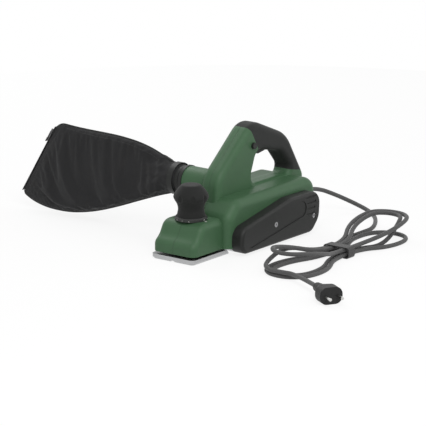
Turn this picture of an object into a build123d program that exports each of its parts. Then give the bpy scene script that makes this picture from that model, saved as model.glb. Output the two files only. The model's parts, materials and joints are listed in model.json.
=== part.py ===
from build123d import *
from math import cos, pi, radians, sin, sqrt, tan
import os

# Electric hand planer with chip bag and hanked lead, in millimetres.
# Front towards -X, left side towards -Y, origin in the middle of the rear sole's working face.

# Soles and cutter
PLANE_W = 82.0  # planing width
REAR_L = 168.0  # rear sole length
SHOE_L = 92.0  # front shoe length
SOLE_T = 8.0  # thickness of both soles
DRUM_D = 47.0  # cutting circle
MOUTH_REAR = 13.0  # rear sole edge behind the drum axis
MOUTH_FRONT = 14.0  # shoe edge ahead of the drum axis
SOLE_CORNER_R = 8.0
SOLE_LEAD = 1.5  # lead-in bevel at the ends of the soles
CUT_MAX = 3.0  # deepest cut, the lift of the front shoe
GROOVE_DEPTH = 4.5  # chamfering groove in the shoe
CHEEK_T = 8.0  # bearing cheek of the rear sole
CHEEK_R = 20.0
RAIL_L = 36.0  # side rail that carries a cheek
RAIL_Z = 3.0
RAIL_H = 6.0  # rail above the sole plate
KNIFE_T = 1.1
KNIFE_H = 9.0
CLAMP_T = 5.0
KNIFE_OUT = 1.2  # knife edge beyond the drum's body

# Drive
MOTOR_SETBACK = 52.0  # motor axis ahead of the rear sole's end
STATOR_R = 32.0
STATOR_L = 44.0
ARMATURE_R = 20.0
SHAFT_R = 4.0
BEARING_R = 11.0
BEARING_W = 7.0
FAN_R = 29.0
FAN_W = 9.0
COMMUTATOR_R = 12.0
COMMUTATOR_W = 11.0
BRUSH_SIDE = 6.0
DRUM_PULLEY_R = 14.5
MOTOR_PULLEY_R = 9.0
PULLEY_W = 11.0
BELT_W = 9.0
BELT_T = 2.2
PULLEY_GROOVES = 4

# Housing
WALL = 3.0
NOSE_TIP = 24.0  # height of the nose at its front edge
DECK_Z = 58.0  # deck under the depth knob
TOOL_H = 183.0  # crest of the handle
SHOULDER_R = 14.0  # rounding along the top of the body
NOSE_SHOULDER_R = 10.0
BODY_MARGIN = 6.0  # material above and below the stator
BODY_OVERHANG = 16.0  # body behind the rear sole
HANDLE_HALF = 18.0
HANDLE_EDGE = 10.0  # rounding of the handle's edges
GRIP_T = 3.0  # soft sleeve on the handle
PORT_R = 20.0  # chip port bore
PORT_BACK = 15.0  # port axis behind the drum axis
PORT_Z = 95.0
COVER_D = 19.0  # depth of the belt cover
COVER_Z = 3.6  # its lower edge above the sole
COVER_WALL = 2.2
COVER_EDGE = 5.0
COVER_RECESS = 1.0
COVER_RIBS = 4

# Depth setting
KNOB_ROOM = 0.7  # between the scale ring and the body behind it
KNOB_R = 27.0
KNOB_H = 49.0
KNOB_LOBES = 8
SCALE_H = 5.0
SPINDLE_R = 5.0
BOSS_H = 24.0  # threaded boss on the shoe

# Controls
TRIGGER_HALF = 6.0
TRIGGER_L = 32.0
TRIGGER_DROP = 9.0  # trigger below the grip's underside
PIN_R = 1.5
SWITCH_L = 32.0
SWITCH_H = 12.0
SWITCH_HALF = 10.0
BUTTON_R = 5.0
BUTTON_OUT = 4.0

# Bag
NECK_R = 22.0
ADAPTOR_L = 34.0  # neck beyond the port's rim
NECK_GRIP = 20.0  # stretch of the neck inside the bag
BAG_WALL = 2.4
BAG_SEAM_T = 9.0
BAG_T = 46.0  # thickness of the filled bag
BAG_TOP = 321.0  # far upper corner, from the mid plane
BAG_TOP_Z = 152.0
BAG_END = 404.0  # far lower corner, from the mid plane
BAG_END_Z = 18.0
BAG_SHOULDER = 150.0  # section behind the neck, from the mid plane
BAG_SHOULDER_Z = 94.0
BAG_SHOULDER_TALL = 90.0
BAG_BELLY = 255.0  # fullest section, from the mid plane
BAG_BELLY_Z = 79.0
BAG_BELLY_TALL = 138.0

# Lead
CORD_R = 3.4
CORD_Z = 44.0
GUARD_L = 46.0
GUARD_R = 7.0
GUARD_RIBS = 5
HANK_X = -19.0  # middle of the hank
HANK_Y = -180.0
HANK_C = 115.0  # middle of the hank to the middle of a loop's round end
HANK_END_R = 25.0  # round end of the innermost loop
HANK_WAIST = 4.0  # half gap of the innermost loop at the waist
HANK_PITCH = 10.0  # from loop to loop at the round ends
HANK_GAP = 0.6  # between cords at the waist and between layers
HANK_TURNS = 2  # loops in the lower layer
HANK_LAST = 27  # last station of the winding, eight to a loop
HANK_LIFT = 26.0  # upper loops spring up at their round ends
HANK_SAMPLES = 900
TIE_T = 1.4
TIE_W = 16.0
PLUG_TAIL = 16.0
PLUG_L = 36.0
PLUG_W = 36.0
PLUG_TALL = 26.0
PLUG_PIN_R = 2.4
PLUG_PIN_L = 19.0
PIN_SPACING = 19.0

# Fasteners and the guide thread
SCREW_R = 2.0
SCREW_HEAD_R = 4.0
SCREW_L = 22.0
SCREW_SINK = 3.5  # depth of the sole screws' heads
GUIDE_DEPTH = 8.0
GUIDE_R = 3.0  # M6 thread for a parallel guide

# Clearances
FIT = 0.05  # running fit, on the radius
GAP = 0.3  # plain clearance
REST = 0.6  # room left at the end of a travel

# Places that follow from the sizes above
HALF = PLANE_W / 2
REAR_FRONT = -REAR_L / 2
REAR_END = REAR_L / 2
DRUM_R = DRUM_D / 2
DRUM_X = REAR_FRONT - MOUTH_REAR
DRUM_Z = DRUM_R
SHOE_REAR = DRUM_X - MOUTH_FRONT
SHOE_FRONT = SHOE_REAR - SHOE_L
CHEEK_IN = HALF + 2 * GAP
CHEEK_OUT = CHEEK_IN + CHEEK_T
BODY_HALF = CHEEK_OUT + GAP + WALL
NOSE_HALF = HALF - 1
NOSE_X = SHOE_FRONT + WALL
NOSE_Z = SOLE_T + CUT_MAX + REST
MOTOR_X = REAR_END - MOTOR_SETBACK
MOTOR_Z = SOLE_T + BODY_MARGIN + STATOR_R
BODY_TOP = MOTOR_Z + STATOR_R + BODY_MARGIN
BODY_FRONT = DRUM_X - CHEEK_R - GAP - 4 * WALL
SCALE_R = KNOB_R - 2
KNOB_X = BODY_FRONT - SCALE_R - KNOB_ROOM
BODY_REAR = REAR_END + BODY_OVERHANG
MOTOR_HALF = BODY_HALF - WALL - BEARING_W
PORT_X = DRUM_X + PORT_BACK
RAIL_END = REAR_FRONT + RAIL_L
GUIDE_X = REAR_FRONT + RAIL_L / 2
GUIDE_Z = SOLE_T + 1
PORT_OUT = BODY_HALF + 2 * WALL
PULLEY_Y = BODY_HALF + GAP + 2 + PULLEY_W / 2  # belt plane, left of the mid plane

# Handle loop and its finger opening in side view, with the radius of each corner
HANDLE = [
    ((BODY_FRONT + 12, DECK_Z - 8), 0),
    ((DRUM_X - 11, BODY_TOP + 30), 40),
    ((MOTOR_X - 50, TOOL_H + 6), 36),
    ((MOTOR_X + 38, TOOL_H - 31), 60),
    ((BODY_REAR + 17, BODY_TOP - 9), 18),
    ((BODY_REAR - 2, BODY_TOP - 32), 0),
]
OPENING = [
    ((MOTOR_X - 60, BODY_TOP + 4), 14),
    ((MOTOR_X - 40, TOOL_H - 43), 16),
    ((MOTOR_X + 19, TOOL_H - 55), 24),
    ((MOTOR_X + 55, BODY_TOP + 2), 10),
]
# Seam between the bare front of the handle and its soft sleeve
GRIP_ZONE = [
    (MOTOR_X - 76, TOOL_H + 20),
    (MOTOR_X - 38, TOOL_H - 45),
    (MOTOR_X - 20, TOOL_H - 70),
    (MOTOR_X + 20, BODY_TOP + 18),
    (MOTOR_X + 44, BODY_TOP + 9),
    (BODY_REAR + 30, BODY_TOP - 2),
    (BODY_REAR + 30, TOOL_H + 20),
]


def side(y):
    """Side-view plane at Y = y, drawn in X and Z and extruded towards -Y."""
    return Plane.XZ.offset(-y)


def rounded(corners):
    """Closed outline through corners given as ((x, z), radius)."""
    return FilletPolyline(*[at for at, _ in corners], radius=[r for _, r in corners], close=True)


def handle_loop(inset):
    """Rounded bar of the handle loop, drawn in all round by the inset."""
    with BuildPart() as loop:
        with BuildSketch(Plane.XZ):
            with BuildLine():
                rounded(HANDLE)
            make_face()
            with BuildLine():
                rounded(OPENING)
            make_face(mode=Mode.SUBTRACT)
            if inset:
                offset(amount=-inset, kind=Kind.INTERSECTION)
        extrude(amount=HANDLE_HALF - inset, both=True)
        fillet(loop.faces().filter_by(Axis.Y).edges(), radius=HANDLE_EDGE - inset)
    return loop.part


def grip_zone():
    """Prism round the stretch of the handle that the soft sleeve covers."""
    with BuildPart() as zone:
        with BuildSketch(Plane.XZ):
            with BuildLine():
                Polyline(*GRIP_ZONE, close=True)
            make_face()
        extrude(amount=HANDLE_HALF + WALL, both=True)
    return zone.part


def moulded(outline, half, edge_r):
    """Side outline extruded to both sides, with every edge above its base rounded."""
    with BuildPart() as block:
        with BuildSketch(Plane.XZ):
            with BuildLine():
                rounded(outline)
            make_face()
        extrude(amount=half, both=True)
        rims = block.faces().filter_by(Axis.Y).edges()
        fillet(rims.filter_by(lambda edge: edge.center().Z > NOSE_Z + GAP), radius=edge_r)
    return block.part


# Side outlines of the housing: the rear block over the motor and drum, the nose over the front shoe
REAR_BLOCK = [
    ((BODY_FRONT, NOSE_Z), 0),
    ((BODY_FRONT, DECK_Z + 2), 22),
    ((BODY_FRONT + 24, BODY_TOP), 24),
    ((BODY_REAR - 6, BODY_TOP), 22),
    ((BODY_REAR, BODY_TOP - 30), 24),
    ((BODY_REAR - 8, DRUM_Z), 30),
    ((REAR_END - 4, SOLE_T), 0),
    ((DRUM_X, SOLE_T), 0),
    ((DRUM_X, NOSE_Z), 0),
]
NOSE_BLOCK = [
    ((NOSE_X, NOSE_Z), 0),
    ((NOSE_X, NOSE_TIP + 4), 13),
    ((NOSE_X + 12, NOSE_TIP + 13), 20),
    ((NOSE_X + 24, DECK_Z), 18),
    ((BODY_FRONT + 14, DECK_Z), 0),
    ((BODY_FRONT + 14, NOSE_Z), 0),
]
rear_block = moulded(REAR_BLOCK, BODY_HALF, SHOULDER_R)
nose_block = moulded(NOSE_BLOCK, NOSE_HALF, NOSE_SHOULDER_R)
outer_loop = handle_loop(0)
inner_loop = handle_loop(GRIP_T)
sleeve_zone = grip_zone()


def underside(x):
    """Height of the grip's underside, along the upper edge of the finger opening."""
    (x0, z0), (x1, z1) = OPENING[1][0], OPENING[2][0]
    return z0 + (x - x0) * (z1 - z0) / (x1 - x0)


def cheek(grow):
    """Side outline of a bearing cheek with its rail, grown by a clearance."""
    with Locations((DRUM_X, DRUM_Z)):
        Circle(CHEEK_R + grow)
    with BuildLine() as rail:
        Polyline(
            (DRUM_X, RAIL_Z - grow),
            (RAIL_END + grow, RAIL_Z - grow),
            (RAIL_END + grow, SOLE_T + RAIL_H + grow),
            (DRUM_X + CHEEK_R * 0.6 + grow, DRUM_Z + CHEEK_R * 0.8 + grow),
            (DRUM_X, DRUM_Z + CHEEK_R * 0.8),
            close=True,
        )
    make_face(rail.edges())


def bore(x, z, radius, y0, y1):
    """Cut a round hole along Y into the part being built."""
    with BuildSketch(side(y1)) as section:
        with Locations((x, z)):
            Circle(radius)
    extrude(section.sketch, amount=y1 - y0, mode=Mode.SUBTRACT)


def slot(points, y0, y1):
    """Cut a prism along Y, given by its corners in X and Z, into the part being built."""
    with BuildSketch(side(y1)) as section:
        with BuildLine():
            Polyline(*points, close=True)
        make_face()
    extrude(section.sketch, amount=y1 - y0, mode=Mode.SUBTRACT)


def rectangle(x0, x1, z0, z1):
    """Corners of an upright rectangle in side view."""
    return [(x0, z0), (x1, z0), (x1, z1), (x0, z1)]


# Places of the controls and fasteners
TRIGGER_X = MOTOR_X - 36
TRIGGER_END = TRIGGER_X + TRIGGER_L
PIN_X = TRIGGER_END - 4
PIN_Z = underside(PIN_X) + GRIP_T + 2 * PIN_R
SWITCH_X = MOTOR_X - 40
SWITCH_Z = TOOL_H - 36
BUTTON_X = MOTOR_X - 54
BUTTON_Z = TOOL_H - 33
BUTTON_IN = HANDLE_HALF - 8
SCREWS = [
    (MOTOR_X - 66, TOOL_H - 47),
    (PORT_X + PORT_R + 8, PORT_Z + 19),
    (BODY_REAR - 4, BODY_TOP - 3),
    (BODY_REAR - 18, MOTOR_Z - 18),
]
SOLE_SCREWS = [(x, y) for x in (MOTOR_X - 62, REAR_END - 10) for y in (-HALF + 12, HALF - 12)]
SLOT_ROOF = SWITCH_Z + GAP
trigger_slot = [
    (TRIGGER_X - REST, underside(TRIGGER_X) - 4 * GRIP_T),
    (TRIGGER_END + REST, underside(TRIGGER_END) - 3 * GRIP_T),
    (TRIGGER_END + REST, SLOT_ROOF),
    (TRIGGER_X - REST, SLOT_ROOF),
]

# Outline of the belt cover and the places of its screws
COVER_OUT = BODY_HALF + COVER_D
COVER = [
    ((DRUM_X - DRUM_PULLEY_R - 10, COVER_Z), 16),
    ((DRUM_X - DRUM_PULLEY_R - 8, DRUM_Z + 20), 18),
    ((MOTOR_X - 26, BODY_TOP - SHOULDER_R - 2), 40),
    ((BODY_REAR - SHOULDER_R - 2, BODY_TOP - SHOULDER_R - 3), 20),
    ((BODY_REAR - SHOULDER_R - 5, DRUM_Z), 26),
    ((REAR_END - 22, COVER_Z), 18),
]
COVER_SCREWS = [
    ((DRUM_X + MOTOR_X) / 2, (DRUM_Z + MOTOR_Z) / 2),
    (BODY_REAR - 34, MOTOR_Z - 17),
]

# Whole housing before it is parted in its two halves
with BuildPart() as housing:
    add(outer_loop)
    add(sleeve_zone, mode=Mode.SUBTRACT)
    add(inner_loop)
    add(rear_block)
    add(nose_block)
    with BuildSketch(side(PORT_OUT)):
        with Locations((PORT_X, PORT_Z)):
            Circle(PORT_R + WALL)
    extrude(amount=PORT_OUT)
    # Drum chamber and the pockets of the two bearing cheeks
    bore(DRUM_X, DRUM_Z, DRUM_R + WALL, -CHEEK_IN - GAP, CHEEK_IN + GAP)
    for y0, y1 in ((-CHEEK_OUT - GAP, -CHEEK_IN + GAP), (CHEEK_IN - GAP, CHEEK_OUT + GAP)):
        with BuildSketch(side(y1)):
            cheek(GAP)
        extrude(amount=y1 - y0, mode=Mode.SUBTRACT)
    bore(DRUM_X, DRUM_Z, SHAFT_R + 2 * WALL, -BODY_HALF - WALL, -CHEEK_OUT)
    # Chip channel from the drum up to the port
    slot(
        [
            (DRUM_X - DRUM_R, DRUM_Z + 14),
            (DRUM_X + 4, DRUM_Z + DRUM_R),
            (PORT_X + PORT_R * 0.7, PORT_Z),
            (PORT_X - PORT_R * 0.9, PORT_Z),
        ],
        WALL - HANDLE_HALF,
        HANDLE_HALF - WALL,
    )
    bore(PORT_X, PORT_Z, PORT_R, WALL - HANDLE_HALF, PORT_OUT + WALL)
    # Motor chamber, bearing seats and shaft hole
    bore(MOTOR_X, MOTOR_Z, STATOR_R + FIT, -MOTOR_HALF, MOTOR_HALF)
    bore(MOTOR_X, MOTOR_Z, BEARING_R + FIT, -MOTOR_HALF - BEARING_W, MOTOR_HALF + BEARING_W)
    bore(MOTOR_X, MOTOR_Z, SHAFT_R + WALL, -BODY_HALF - WALL, -MOTOR_HALF)
    # Hollow between drum and motor, and the hollow nose
    slot(
        rectangle(RAIL_END - 12, MOTOR_X - STATOR_R - WALL, SOLE_T + 18, BODY_TOP - 2 * WALL),
        -BODY_HALF + 2 * WALL,
        BODY_HALF - 2 * WALL,
    )
    slot(
        [
            (NOSE_X + 2 * WALL, NOSE_Z - WALL),
            (BODY_FRONT - WALL, NOSE_Z - WALL),
            (BODY_FRONT - WALL, DECK_Z - 2 * WALL),
            (NOSE_X + 34, DECK_Z - 2 * WALL),
            (NOSE_X + 22, NOSE_TIP + 8),
            (NOSE_X + 2 * WALL, NOSE_TIP - 3),
        ],
        -NOSE_HALF + 2 * WALL,
        NOSE_HALF - 2 * WALL,
    )
    with Locations((KNOB_X, 0, DECK_Z)):
        Hole(SPINDLE_R + FIT, depth=3 * WALL)
    # Cooling slots round the motor bearing on the right side
    with BuildSketch(side(BODY_HALF + WALL)):
        with Locations((MOTOR_X, MOTOR_Z)):
            with PolarLocations(STATOR_R * 0.62, 12):
                SlotOverall(STATOR_R * 0.5, WALL)
    extrude(amount=BODY_HALF + WALL - MOTOR_HALF + GAP, mode=Mode.SUBTRACT)
    # Switch, trigger and lock button
    slot(rectangle(SWITCH_X, SWITCH_X + SWITCH_L, SWITCH_Z, SWITCH_Z + SWITCH_H), -SWITCH_HALF, SWITCH_HALF)
    slot(trigger_slot, -TRIGGER_HALF - GAP, TRIGGER_HALF + GAP)
    bore(PIN_X, PIN_Z, PIN_R, -TRIGGER_HALF - 2 * WALL, TRIGGER_HALF + 2 * WALL)
    bore(BUTTON_X, BUTTON_Z, BUTTON_R + FIT, -HANDLE_HALF - WALL, -BUTTON_IN + BUTTON_OUT)
    # Seat of the cord guard and the screw holes
    with BuildSketch(Plane.YZ.offset(BODY_REAR - 20)):
        with Locations((0, CORD_Z)):
            Circle(GUARD_R)
    extrude(amount=2 * GUARD_L, mode=Mode.SUBTRACT)
    with BuildSketch(Plane.YZ.offset(BODY_REAR - 16)):
        with Locations((0, CORD_Z)):
            Circle(GUARD_R + WALL - 1)
    extrude(amount=WALL, mode=Mode.SUBTRACT)
    for x, z in SCREWS:
        bore(x, z, SCREW_R, -SCREW_L / 2, SCREW_L / 2 + WALL)
        bore(x, z, SCREW_HEAD_R + GAP, SCREW_L / 2, BODY_HALF + WALL)
    with Locations(*[(x, y, SOLE_T) for x, y in SOLE_SCREWS]):
        Cylinder(SCREW_R, 2 * SCREW_R * 6, mode=Mode.SUBTRACT)
    for x, z in COVER_SCREWS:
        bore(x, z, SCREW_R, -BODY_HALF - WALL, -BODY_HALF + WALL)
    # Way in to the guide thread
    bore(GUIDE_X, GUIDE_Z, GUIDE_R + WALL, CHEEK_OUT, BODY_HALF + WALL)

with BuildPart() as housing_left:
    add(housing.part)
    split(bisect_by=Plane.XZ, keep=Keep.TOP)
with BuildPart() as housing_right:
    add(housing.part)
    split(bisect_by=Plane.XZ, keep=Keep.BOTTOM)

# Soft sleeve on the handle
with BuildPart() as handle_grip:
    add(outer_loop)
    add(sleeve_zone, mode=Mode.INTERSECT)
    add(inner_loop, mode=Mode.SUBTRACT)
    add(rear_block, mode=Mode.SUBTRACT)
    slot(trigger_slot, -TRIGGER_HALF - GAP, TRIGGER_HALF + GAP)


def turned(x, z, y0, y1, radius, hole=0.0):
    """Round piece along Y with an optional through hole."""
    with BuildPart() as piece:
        with BuildSketch(side(y1)):
            with Locations((x, z)):
                Circle(radius)
                if hole:
                    Circle(hole, mode=Mode.SUBTRACT)
        extrude(amount=y1 - y0)
    return piece.part


def pulley(x, z, radius):
    """Grooved belt pulley on the left side of the body."""
    axis = Axis((x, 0, z), (0, 1, 0))
    groove = BELT_W / (2 * PULLEY_GROOVES)
    start = -PULLEY_Y - BELT_W / 2
    rim = [(radius - (k % 2) * groove * 0.8, start + k * groove) for k in range(2 * PULLEY_GROOVES + 1)]
    with BuildPart() as wheel:
        with BuildSketch(Plane(origin=(x, 0, z), x_dir=(1, 0, 0), z_dir=(0, 0, 1))):
            with BuildLine():
                Polyline(
                    (SHAFT_R + FIT, -PULLEY_Y - PULLEY_W / 2),
                    (radius, -PULLEY_Y - PULLEY_W / 2),
                    *rim,
                    (radius, -PULLEY_Y + PULLEY_W / 2),
                    (SHAFT_R + FIT, -PULLEY_Y + PULLEY_W / 2),
                    close=True,
                )
            make_face()
        revolve(axis=axis)
    return wheel.part


# Fixed rear sole with the bearing cheeks of the drum
with BuildPart() as rear_sole:
    with BuildSketch(Plane.XY):
        with BuildLine():
            rounded(
                [
                    ((REAR_FRONT, -HALF), 0),
                    ((REAR_END, -HALF), SOLE_CORNER_R),
                    ((REAR_END, HALF), SOLE_CORNER_R),
                    ((REAR_FRONT, HALF), 0),
                ]
            )
        make_face()
    extrude(amount=SOLE_T)
    toe = rear_sole.faces().sort_by(Axis.Z)[0].edges().filter_by(lambda e: e.center().X > REAR_END - SOLE_CORNER_R)
    chamfer(toe, length=SOLE_LEAD)
    for y0, y1 in ((-CHEEK_OUT, -CHEEK_IN), (CHEEK_IN, CHEEK_OUT)):
        with BuildSketch(side(y1)):
            cheek(0)
        extrude(amount=y1 - y0)
    for y0, y1 in ((-CHEEK_OUT, -HALF + WALL), (HALF - WALL, CHEEK_OUT)):
        with BuildSketch(side(y1)):
            with BuildLine():
                Polyline(*rectangle(REAR_FRONT, RAIL_END, RAIL_Z, SOLE_T), close=True)
            make_face()
        extrude(amount=y1 - y0)
    bore(DRUM_X, DRUM_Z, DRUM_R + GAP * 4, -CHEEK_IN, CHEEK_IN)
    bore(DRUM_X, DRUM_Z, BEARING_R, -CHEEK_OUT - GAP, CHEEK_OUT + GAP)
    bore(GUIDE_X, GUIDE_Z, GUIDE_R, CHEEK_OUT - GUIDE_DEPTH, CHEEK_OUT + GAP)
    with Locations(*[(x, y, 0) for x, y in SOLE_SCREWS]):
        Cylinder(SCREW_R, 3 * SOLE_T, mode=Mode.SUBTRACT)
        Cylinder(SCREW_HEAD_R + GAP, 2 * SCREW_SINK, mode=Mode.SUBTRACT)

# Front shoe that slides up for the depth of cut
with BuildPart() as front_shoe:
    with BuildSketch(Plane.XY):
        with BuildLine():
            rounded(
                [
                    ((SHOE_FRONT, -HALF), SOLE_CORNER_R),
                    ((SHOE_REAR, -HALF), 0),
                    ((SHOE_REAR, HALF), 0),
                    ((SHOE_FRONT, HALF), SOLE_CORNER_R),
                ]
            )
        make_face()
    extrude(amount=SOLE_T)
    toe = front_shoe.faces().sort_by(Axis.Z)[0].edges().filter_by(
        lambda e: e.center().X < SHOE_FRONT + SOLE_CORNER_R
    )
    chamfer(toe, length=2 * SOLE_LEAD)
    with BuildSketch(Plane.YZ.offset(SHOE_FRONT - WALL)):
        with BuildLine():
            Polyline((-GROOVE_DEPTH - 1, -1), (GROOVE_DEPTH + 1, -1), (0, GROOVE_DEPTH), close=True)
        make_face()
    extrude(amount=SHOE_L + 2 * WALL, mode=Mode.SUBTRACT)
    with Locations((KNOB_X, 0, SOLE_T)):
        Cylinder(SPINDLE_R + 2 * WALL, BOSS_H, align=(Align.CENTER, Align.CENTER, Align.MIN))
    with Locations((KNOB_X, 0, SOLE_T + BOSS_H)):
        Hole(SPINDLE_R + FIT, depth=BOSS_H)
    for lift in (0, CUT_MAX):
        bore(DRUM_X, DRUM_Z - lift, DRUM_R + GAP * 4, -HALF - GAP, HALF + GAP)

# Cutter drum with two knife slots and its shaft
BODY_R = DRUM_R - KNIFE_OUT
SLOT_W = KNIFE_T + CLAMP_T
SLOT_Z = DRUM_Z - KNIFE_T
SHAFT_END = PULLEY_Y + PULLEY_W / 2 + WALL
with BuildPart() as cutter_drum:
    with BuildSketch(side(HALF)):
        with Locations((DRUM_X, DRUM_Z)):
            Circle(BODY_R)
    extrude(amount=PLANE_W)
    with BuildSketch(side(CHEEK_OUT)):
        with Locations((DRUM_X, DRUM_Z)):
            Circle(SHAFT_R)
    extrude(amount=CHEEK_OUT + SHAFT_END)
    slot(
        rectangle(DRUM_X - DRUM_R, DRUM_X - DRUM_R + KNIFE_H + KNIFE_OUT, SLOT_Z, SLOT_Z + SLOT_W),
        -DRUM_R * 4,
        DRUM_R * 4,
    )
    slot(
        rectangle(
            DRUM_X + DRUM_R - KNIFE_H - KNIFE_OUT,
            DRUM_X + DRUM_R,
            2 * DRUM_Z - SLOT_Z - SLOT_W,
            2 * DRUM_Z - SLOT_Z,
        ),
        -DRUM_R * 4,
        DRUM_R * 4,
    )


def opposite(piece):
    """The piece and its copy half a turn round the drum's axis."""
    return Part() + [piece, piece.rotate(Axis((DRUM_X, 0, DRUM_Z), (0, 1, 0)), 180)]


def bar(x0, x1, z0, z1, half):
    """Straight bar along Y with an upright rectangular section."""
    with BuildPart() as piece:
        with BuildSketch(side(half)):
            with BuildLine():
                Polyline(*rectangle(x0, x1, z0, z1), close=True)
            make_face()
        extrude(amount=2 * half)
    return piece.part


SLOT_BOTTOM = DRUM_X - DRUM_R + KNIFE_H + KNIFE_OUT
knife = bar(DRUM_X - DRUM_R, SLOT_BOTTOM - KNIFE_OUT, SLOT_Z, SLOT_Z + KNIFE_T, HALF)
clamp = bar(DRUM_X - BODY_R + 2, SLOT_BOTTOM, SLOT_Z + KNIFE_T, SLOT_Z + SLOT_W, HALF)
planer_knives = opposite(knife)
knife_clamps = opposite(clamp)

# Drum bearings, pulleys and belt
drum_bearings = Part() + [
    turned(DRUM_X, DRUM_Z, y - BEARING_W / 2, y + BEARING_W / 2, BEARING_R, SHAFT_R)
    for y in (-CHEEK_OUT + BEARING_W / 2, CHEEK_OUT - BEARING_W / 2)
]
drum_pulley = pulley(DRUM_X, DRUM_Z, DRUM_PULLEY_R)
motor_pulley = pulley(MOTOR_X, MOTOR_Z, MOTOR_PULLEY_R)
with BuildPart() as drive_belt:
    with BuildSketch(side(-PULLEY_Y + BELT_W / 2)):
        with Locations((DRUM_X, DRUM_Z)):
            Circle(DRUM_PULLEY_R + GAP + BELT_T)
        with Locations((MOTOR_X, MOTOR_Z)):
            Circle(MOTOR_PULLEY_R + GAP + BELT_T)
        make_hull()
        offset(amount=-BELT_T, mode=Mode.SUBTRACT)
    extrude(amount=BELT_W)

# Motor
STATOR_Y = -MOTOR_HALF + FAN_W + 5
motor_shaft = turned(MOTOR_X, MOTOR_Z, -SHAFT_END, MOTOR_HALF + BEARING_W, SHAFT_R)
armature_core = turned(MOTOR_X, MOTOR_Z, STATOR_Y, STATOR_Y + STATOR_L, ARMATURE_R, SHAFT_R)
stator = turned(MOTOR_X, MOTOR_Z, STATOR_Y, STATOR_Y + STATOR_L, STATOR_R, ARMATURE_R + 2 * GAP)
COMMUTATOR_Y = STATOR_Y + STATOR_L + 8
commutator = turned(MOTOR_X, MOTOR_Z, COMMUTATOR_Y, COMMUTATOR_Y + COMMUTATOR_W, COMMUTATOR_R, SHAFT_R)
motor_bearings = Part() + [
    turned(MOTOR_X, MOTOR_Z, -MOTOR_HALF - BEARING_W, -MOTOR_HALF, BEARING_R, SHAFT_R),
    turned(MOTOR_X, MOTOR_Z, MOTOR_HALF, MOTOR_HALF + BEARING_W, BEARING_R, SHAFT_R),
]
with BuildPart() as cooling_fan:
    FAN_Y = -MOTOR_HALF + 2
    with BuildSketch(side(FAN_Y + FAN_W)):
        with Locations((MOTOR_X, MOTOR_Z)):
            Circle(FAN_R)
    extrude(amount=2)
    with BuildSketch(side(FAN_Y + FAN_W)):
        with Locations((MOTOR_X, MOTOR_Z)):
            Circle(SHAFT_R + WALL)
            with PolarLocations(FAN_R * 0.65, 9):
                Rectangle(FAN_R * 0.6, 2, rotation=25)
    extrude(amount=FAN_W)
    bore(MOTOR_X, MOTOR_Z, SHAFT_R, FAN_Y - WALL, FAN_Y + FAN_W + WALL)

BRUSH_Y = COMMUTATOR_Y + COMMUTATOR_W / 2


def brush(side_sign, wide, tall, inner):
    """Block beside the commutator, from the given radius out to the motor chamber's wall."""
    with BuildPart() as piece:
        with Locations((MOTOR_X + side_sign * (inner + STATOR_R - 3) / 2, BRUSH_Y, MOTOR_Z)):
            Box(STATOR_R - 3 - inner, wide, tall)
    return piece.part


carbon_brushes = Part() + [brush(sign, BRUSH_SIDE, BRUSH_SIDE, COMMUTATOR_R + GAP) for sign in (-1, 1)]
brush_holders = Part() + [
    brush(sign, BRUSH_SIDE + WALL, BRUSH_SIDE + WALL, COMMUTATOR_R + WALL) for sign in (-1, 1)
]
brush_holders -= carbon_brushes

# Belt cover on the left side
with BuildPart() as belt_cover:
    with BuildSketch(side(-CHEEK_OUT - GAP)):
        with BuildLine():
            rounded(COVER)
        make_face()
    extrude(amount=COVER_OUT - CHEEK_OUT - GAP)
    fillet(belt_cover.faces().sort_by(Axis.Y)[0].edges(), radius=COVER_EDGE)
    add(rear_block, mode=Mode.SUBTRACT)
    with BuildSketch(side(-BODY_HALF)):
        with BuildLine():
            rounded(COVER)
        make_face()
        offset(amount=-COVER_WALL, mode=Mode.REPLACE)
        with Locations(*COVER_SCREWS):
            Circle(SCREW_HEAD_R + 1, mode=Mode.SUBTRACT)
    extrude(amount=COVER_D - COVER_WALL, mode=Mode.SUBTRACT)
    with BuildSketch(side(-COVER_OUT + COVER_RECESS)):
        with Locations((DRUM_X, DRUM_Z)):
            Circle(DRUM_PULLEY_R - 2)
        with Locations((MOTOR_X, MOTOR_Z)):
            Circle(MOTOR_PULLEY_R + 4)
        make_hull()
    extrude(amount=2 * COVER_RECESS, mode=Mode.SUBTRACT)
    for rib in range(COVER_RIBS):
        slot(
            rectangle(
                BODY_REAR - SHOULDER_R - 40,
                BODY_REAR - SHOULDER_R - 14 - 2 * rib,
                MOTOR_Z + 14 - 9 * rib,
                MOTOR_Z + 17 - 9 * rib,
            ),
            -COVER_OUT - GAP,
            -COVER_OUT + COVER_RECESS,
        )
    for x, z in COVER_SCREWS:
        bore(x, z, SCREW_R, -COVER_OUT - GAP, -CHEEK_OUT)
        bore(x, z, SCREW_HEAD_R + GAP, -COVER_OUT - GAP, -COVER_OUT + SCREW_SINK)


def screw(x, z, y0, y1, head):
    """Pan-head screw along Y with its head at y1 and its point at y0."""
    with BuildPart() as piece:
        with BuildSketch(side(max(y0, y1))):
            with Locations((x, z)):
                Circle(SCREW_R)
        extrude(amount=abs(y1 - y0))
        with BuildSketch(side(y1 + (head if y1 > y0 else 0))):
            with Locations((x, z)):
                Circle(SCREW_HEAD_R)
                RegularPolygon(SCREW_R, 6, mode=Mode.SUBTRACT)
        extrude(amount=head)
    return piece.part


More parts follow.
